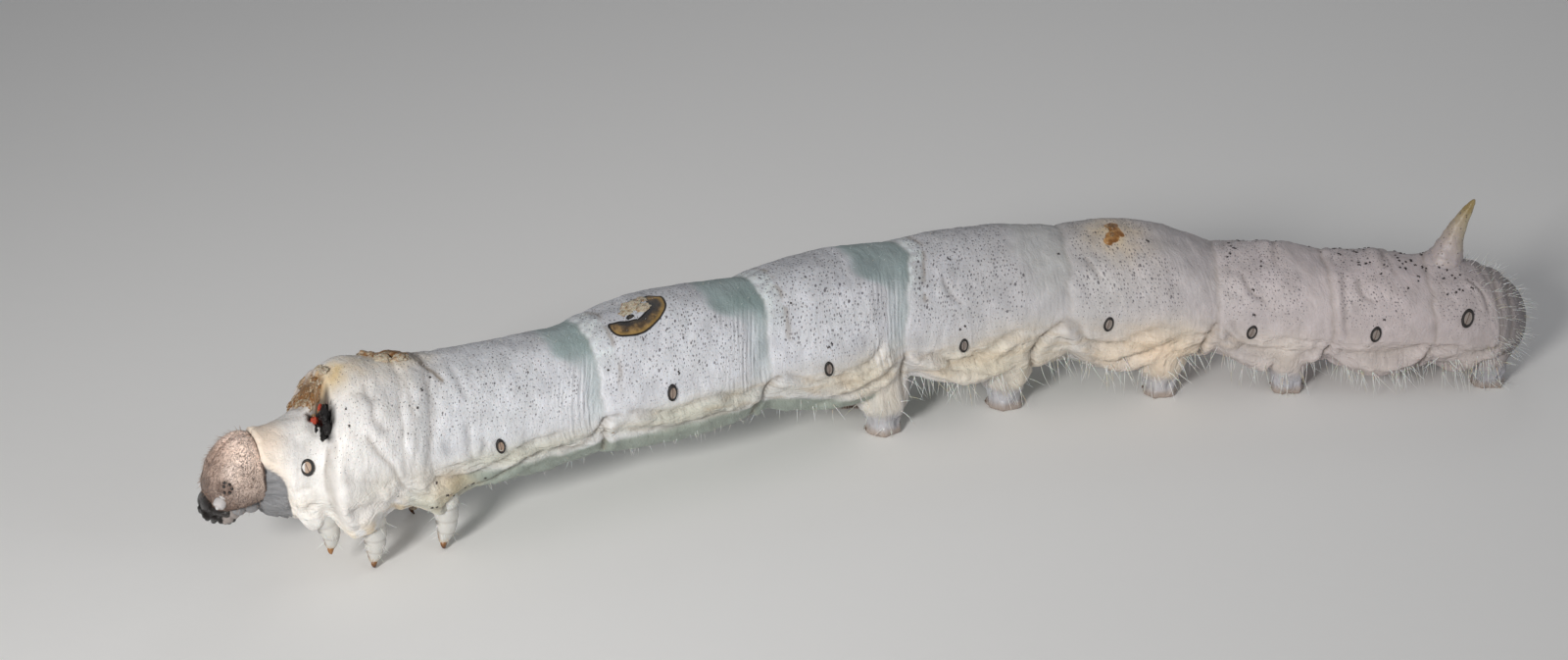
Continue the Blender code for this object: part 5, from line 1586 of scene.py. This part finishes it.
for name, lumps, colour, rough in (
    ("clots", CLOTS, (0.01, 0.008, 0.008), 0.22), ("flesh", FLESH, (0.58, 0.085, 0.045), 0.25)
):
    clot_bm = bmesh.new()
    for numbers, *seat in zip(lumps, *skin_frames(*np.array(lumps).T[:2], 1.0)):
        along, angle, lift, *halves = numbers
        grain = Vector((along * 3.0, angle * 0.2, 1.0))
        add_clump(clot_bm, seat, 0.0, lift, halves, grain, ((0.3, 1.7), (0.14, 4.5)))
    paint = Paint(name, colour, rough)
    paint.grain(5200.0, 4.0, 0.7, 0.00006)
    clot = add_object(name, clot_bm, paint)
    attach(clot, "root")

# Place along the body and round it, length, and how far the fleck is turned from the body's line
FLECKS = (
    (24.0, 73, 0.26, 80), (33.0, 79, 0.22, 10), (33.2, 77, 0.2, 70), (42.0, 84, 0.14, 60),
    (41.7, 86, 0.1, 0), (39.0, 42, 0.14, 80), (41.0, 30, 0.26, 40), (9.2, 38, 0.22, 60),
    (9.0, 52, 0.12, 90), (9.7, 27, 0.1, 0), (19.9, 56, 0.12, 20), (58.0, 80, 0.2, 20), (52.9, 22, 0.26, 60),
    (47.4, 33, 0.14, 0), (5.0, 40, 0.12, 40), (5.2, 52, 0.12, 90), (65.4, 78, 0.14, 20),
    (30.8, 40, 0.14, 30),
)
FLECK_FIELDS = (
    # how many, the middle of the field and its spread along and round
    (30, 65.4, 20.0, 2.2, 24.0), (26, 68.6, 18.0, 1.2, 18.0), (14, 59.4, 22.0, 1.8, 30.0),
    (16, 70.4, 40.0, 0.9, 24.0), (20, 10.4, 128.0, 3.0, 10.0),
)
flecks = list(FLECKS)
for count, along, angle, spread, spread_round in FLECK_FIELDS:
    for index in range(count):
        turn = angle + spread_round * draw.normal() * 0.6
        place = along + spread * draw.normal() * 0.6
        flecks.append(
            (place, turn * draw.choice((1, -1)), draw.uniform(0.06, 0.2), draw.uniform(0.0, 180.0))
        )
fleck_bm = bmesh.new()
FLECK_SIDES, FLECK_SHARES, FLECK_RADII = 6, (-0.5, -0.25, 0.1, 0.4, 0.5), (0.01, 0.034, 0.03, 0.026, 0.008)
frames = skin_frames(*np.array(flecks).T[:2], 0.3)
for (along, angle, length, lean), place, out, tail, around in zip(flecks, *frames):
    turn = math.radians(lean)
    run = tail * math.cos(turn) + around * math.sin(turn)
    bend = np.cross(out, run) * 0.05
    centres = [place + out * 0.012 + run * (length * s) + bend * math.sin(s * 9.0) for s in FLECK_SHARES]
    add_rod(fleck_bm, centres, FLECK_RADII, FLECK_SIDES, out, 1.6)
fleck_marks = add_object("flecks", fleck_bm, Paint("fleck", (0.035, 0.028, 0.028), 0.6))
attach(fleck_marks, "root")

# ---- hairs ----
# Sparse, straight white hairs: a fringe under the side folds, tufts round the prolegs, a short brush over
# the tail and fine down elsewhere, with short brown hairs on the head.

HAIR_SIDES, HAIR_STATIONS, TUFT_PATCH, HAIR_FLOOR_GAP = 3, 5, 0.003, 0.03
SIDE_TURNS = np.radians(np.arange(HAIR_SIDES) * 360.0 / HAIR_SIDES)


def add_hairs(name, paint, roots, directions, droop, lengths, radii, bake_roots):
    """One mesh of many tapered hairs, each laid out as a small patch at its root's place on the bake map."""
    count = len(roots)
    directions = units(directions)
    helper = np.where(np.abs(directions[:, 2:]) < 0.8, [[0.0, 0.0, 1.0]], [[1.0, 0.0, 0.0]])
    sideways = units(np.cross(directions, helper))
    upright = np.cross(directions, sideways)
    shares = np.linspace(0.0, 1.0, HAIR_STATIONS)
    run = lengths[:, None, None]
    middles = roots[:, None] + directions[:, None] * run * shares[:, None]
    middles += droop[:, None] * run * shares[:, None] ** 2
    middles[..., 2] = np.maximum(middles[..., 2], HAIR_FLOOR_GAP)
    ring = sideways[:, None] * np.cos(SIDE_TURNS)[:, None] + upright[:, None] * np.sin(SIDE_TURNS)[:, None]
    width = radii[:, None] * (1.02 - shares) ** 0.6
    points = middles[:, :, None] + ring[:, None] * width[:, :, None, None]
    corners, lanes = [], []
    for station in range(HAIR_STATIONS - 1):
        for side in range(HAIR_SIDES):
            low, high = station * HAIR_SIDES, (station + 1) * HAIR_SIDES
            follow = (side + 1) % HAIR_SIDES
            corners.append((low + side, low + follow, high + follow, high + side))
            lanes += [(side, station), (side + 1, station), (side + 1, station + 1), (side, station + 1)]
    firsts = np.arange(count)[:, None, None] * HAIR_STATIONS * HAIR_SIDES
    faces = (np.array(corners)[None] + firsts).reshape(-1, 4)
    mesh = bpy.data.meshes.new(name)
    mesh.from_pydata((points.reshape(-1, 3) * MM).tolist(), [], faces.tolist())
    patch = (np.array(lanes, float) / (HAIR_SIDES, HAIR_STATIONS - 1) - 0.5) * TUFT_PATCH
    places = (bake_roots[:, None] + patch[None]).reshape(-1)
    mesh.uv_layers.new(name="OFBake").data.foreach_set("uv", places)
    obj = finish_mesh(name, mesh, paint)
    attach(obj, "root")


def bake_roots(along, angle):
    """Where hairs rooted in the skin lie on its bake map."""
    strips = (along - NECK_PLACES[0]) / (TAIL_END - NECK_PLACES[0]) * STRIPS
    strips = np.minimum(strips.astype(int), STRIPS - 1)
    return np.stack(bake_place(along, angle, strips), axis=-1)


hair_paint = Paint("white hair", (0.86, 0.84, 0.78), 0.35, (0.2, 0.0002))
hair_cloud = hair_paint.noise(1500.0, 1.0, hair_paint.node("TexCoord", "Object"))
hair_share = hair_paint.step(hair_cloud, 0.5, 0.75)
hair_paint.plug("Base Color", hair_paint.mix((0.9, 0.88, 0.84), (0.62, 0.52, 0.36), hair_share))
DOWN = -UP


def sow(count, along_low, along_high, angle_middle, angle_spread):
    """Random places on the skin, spread evenly along it and in a bell round an angle."""
    along = draw.uniform(along_low, along_high, count)
    angle = angle_middle + angle_spread * draw.normal(size=count)
    return along, angle * draw.choice((1.0, -1.0), size=count)


# the fringe under the side folds, thicker and longer towards the tail
FRINGES = (
    # how many, where they start and end along the body, the angle of their middle and its spread
    (30, 30.5, 38.0, 131.0, 4.0), (110, 38.2, 47.0, 131.0, 4.0), (120, 47.0, 56.0, 131.0, 4.0),
    (80, 56.2, 62.4, 131.0, 4.0), (100, 62.8, 68.0, 129.0, 5.0), (110, 68.2, 73.0, 126.0, 8.0),
    (120, 10.5, 30.0, 143.0, 6.0)
)
fringe_along, fringe_angle = np.hstack([sow(*fringe) for fringe in FRINGES])
places, outs, tails, rounds = skin_frames(fringe_along, fringe_angle, 0.3)
count = len(fringe_along)
full = np.interp(fringe_along, (10.0, 29.0, 31.0, 40.0, 75.0), (0.3, 0.35, 0.65, 1.0, 0.95))
lengths = full * draw.uniform(0.8, 1.6, count)
lean = (
    outs * 0.55 + DOWN * 0.75 + tails * (0.18 + 0.3 * draw.normal(size=(count, 1)))
    + 0.16 * draw.normal(size=(count, 3))
)
droop = DOWN * 0.12 + tails * draw.normal(size=(count, 1)) * 0.12 - outs * 0.1
radii = 0.023 * draw.uniform(0.8, 1.2, count) * np.minimum(0.5 + 0.5 * full, 1.0)
add_hairs("fringe", hair_paint, places, lean, droop, lengths, radii, bake_roots(fringe_along, fringe_angle))

# tufts round the thighs of the prolegs
TUFT_DRAWS, TUFT_REACH = 1500, 3.2
tufts = []
for spot, *_ in PROLEGS:
    along = draw.uniform(spot - TUFT_REACH, spot + TUFT_REACH, TUFT_DRAWS)
    angle = draw.uniform(105.0, 178.0, TUFT_DRAWS) * draw.choice((1.0, -1.0), size=TUFT_DRAWS)
    depth = skin_place(along, angle)[1]
    share = 0.01 + 0.12 * smooth((along - spot + 1.4) / 2.8)
    keep = (depth > 0.15) & (depth < 0.7) & (draw.uniform(size=TUFT_DRAWS) < share)
    tufts.append((along[keep], angle[keep]))
tuft_along, tuft_angle = np.hstack(tufts)
places, outs, tails, rounds = skin_frames(tuft_along, tuft_angle, 0.12)
count = len(tuft_along)
lean = (
    outs * 0.9 + DOWN * 0.3 + tails * (0.25 + 0.2 * draw.normal(size=(count, 1)))
    + 0.15 * draw.normal(size=(count, 3))
)
droop = DOWN * 0.15 + 0.12 * draw.normal(size=(count, 3))
lengths, radii = draw.uniform(0.55, 1.15, count), draw.uniform(0.018, 0.025, count)
add_hairs(
    "proleg_tufts", hair_paint, places, lean, droop, lengths, radii, bake_roots(tuft_along, tuft_angle)
)

# the brush over the tail, and fine down on the whole body
BRUSH_HAIRS, FRONT_DOWN, REAR_DOWN = 300, 420, 1300
brush_along = draw.uniform(71.4, TAIL_END - 0.12, BRUSH_HAIRS)
brush_angle = draw.uniform(-150.0, 150.0, BRUSH_HAIRS)
front_along, rear_along = draw.uniform(1.6, 12.0, FRONT_DOWN), draw.uniform(12.0, 72.0, REAR_DOWN)
down_angle = draw.uniform(-150.0, 150.0, FRONT_DOWN + REAR_DOWN)
coat_along = np.concatenate([brush_along, front_along, rear_along])
coat_angle = np.concatenate([brush_angle, down_angle])
places, outs, tails, rounds = skin_frames(coat_along, coat_angle, 0.25)
count, brush = len(coat_along), np.arange(len(coat_along)) < BRUSH_HAIRS
lean = outs + tails * (0.35 + 0.25 * draw.normal(size=(count, 1))) + 0.2 * draw.normal(size=(count, 3))
droop = DOWN * 0.15 + 0.1 * draw.normal(size=(count, 3))
lengths = np.where(brush, draw.uniform(0.4, 1.05, count), draw.uniform(0.1, 0.24, count))
radii = np.where(brush, draw.uniform(0.011, 0.016, count), 0.008)
places = places - outs * 0.02
add_hairs("body_down", hair_paint, places, lean, droop, lengths, radii, bake_roots(coat_along, coat_angle))

# short hairs on the legs
LEG_HAIRS, LEG_HAIR_HEIGHTS = 34, (0.75, 1.0, 1.5, 2.0, 2.6, 2.9, 3.0)
leg_roots, leg_leans = [], []
for leg in LEGS:
    for sign in SIDES.values():
        for index in range(LEG_HAIRS):
            height = draw.choice(LEG_HAIR_HEIGHTS) + draw.uniform(-0.1, 0.1)
            turn = draw.uniform(0.0, 2 * math.pi)
            middle, tailward, outward = leg_centre(leg, sign, height)
            out = tailward * math.cos(turn) + outward * math.sin(turn)
            leg_roots.append(middle + out * (np.interp(height, leg_heights, leg_radii) - 0.02))
            leg_leans.append(out * 0.8 + DOWN * draw.uniform(0.5, 1.0) + 0.15 * draw.normal(size=3))
leg_roots, leg_leans, count = np.array(leg_roots), np.array(leg_leans), len(leg_roots)
leg_bake = np.stack([np.arange(count) % 20 / 20 + 0.02, np.arange(count) // 20 / 20 + 0.02], axis=-1)
add_hairs(
    "leg_hairs", hair_paint, leg_roots, leg_leans, 0.1 * draw.normal(size=(count, 3)),
    draw.uniform(0.25, 0.6, count), np.full(count, 0.015), leg_bake
)

# short brown hairs on the head
HEAD_HAIRS, FACE_DOWN = 900, np.array([0.35, 0.0, -1.0])
head_units = units(draw.normal(size=(HEAD_HAIRS, 3)))
head_units = head_units[(head_units[:, 0] > -0.55) & (head_units[:, 2] > -0.55)]
halves = np.tile((HEAD_HALF_FRONT, HEAD_HALF_WIDTH, HEAD_HALF_HEIGHT), (len(head_units), 1))
halves[head_units[:, 0] <= 0.0, 0] = HEAD_HALF_REAR
turn_head, head_origin = np.array(HEAD.to_3x3()), np.array(HEAD.translation)
head_roots, head_outs = head_units * halves, units(head_units / halves)
reliefs = np.array([float(head_relief(*root)) for root in head_roots])
head_roots = (head_roots + head_outs * (reliefs - 0.015)[:, None]) @ turn_head.T + head_origin
keep = (head_roots - np.array(rim_middle)) @ rim_tail < -0.25
head_roots, head_outs, head_units = head_roots[keep], head_outs[keep], head_units[keep]
count = len(head_roots)
face_run = FACE_DOWN - head_outs * (head_outs @ FACE_DOWN)[:, None]
lean = head_outs * 0.75 + face_run * 0.6 + 0.2 * draw.normal(size=(count, 3))
head_turns = np.arctan2(head_units[:, 1], head_units[:, 0]) / (2 * math.pi) + 0.5
head_bake = np.stack([head_turns, np.arccos(head_units[:, 2]) / math.pi], axis=-1)
add_hairs(
    "head_hairs", Paint("head hair", (0.3, 0.2, 0.14), 0.4), head_roots, lean @ turn_head.T,
    0.1 * draw.normal(size=(count, 3)), draw.uniform(0.14, 0.34, count), np.full(count, 0.01), head_bake
)
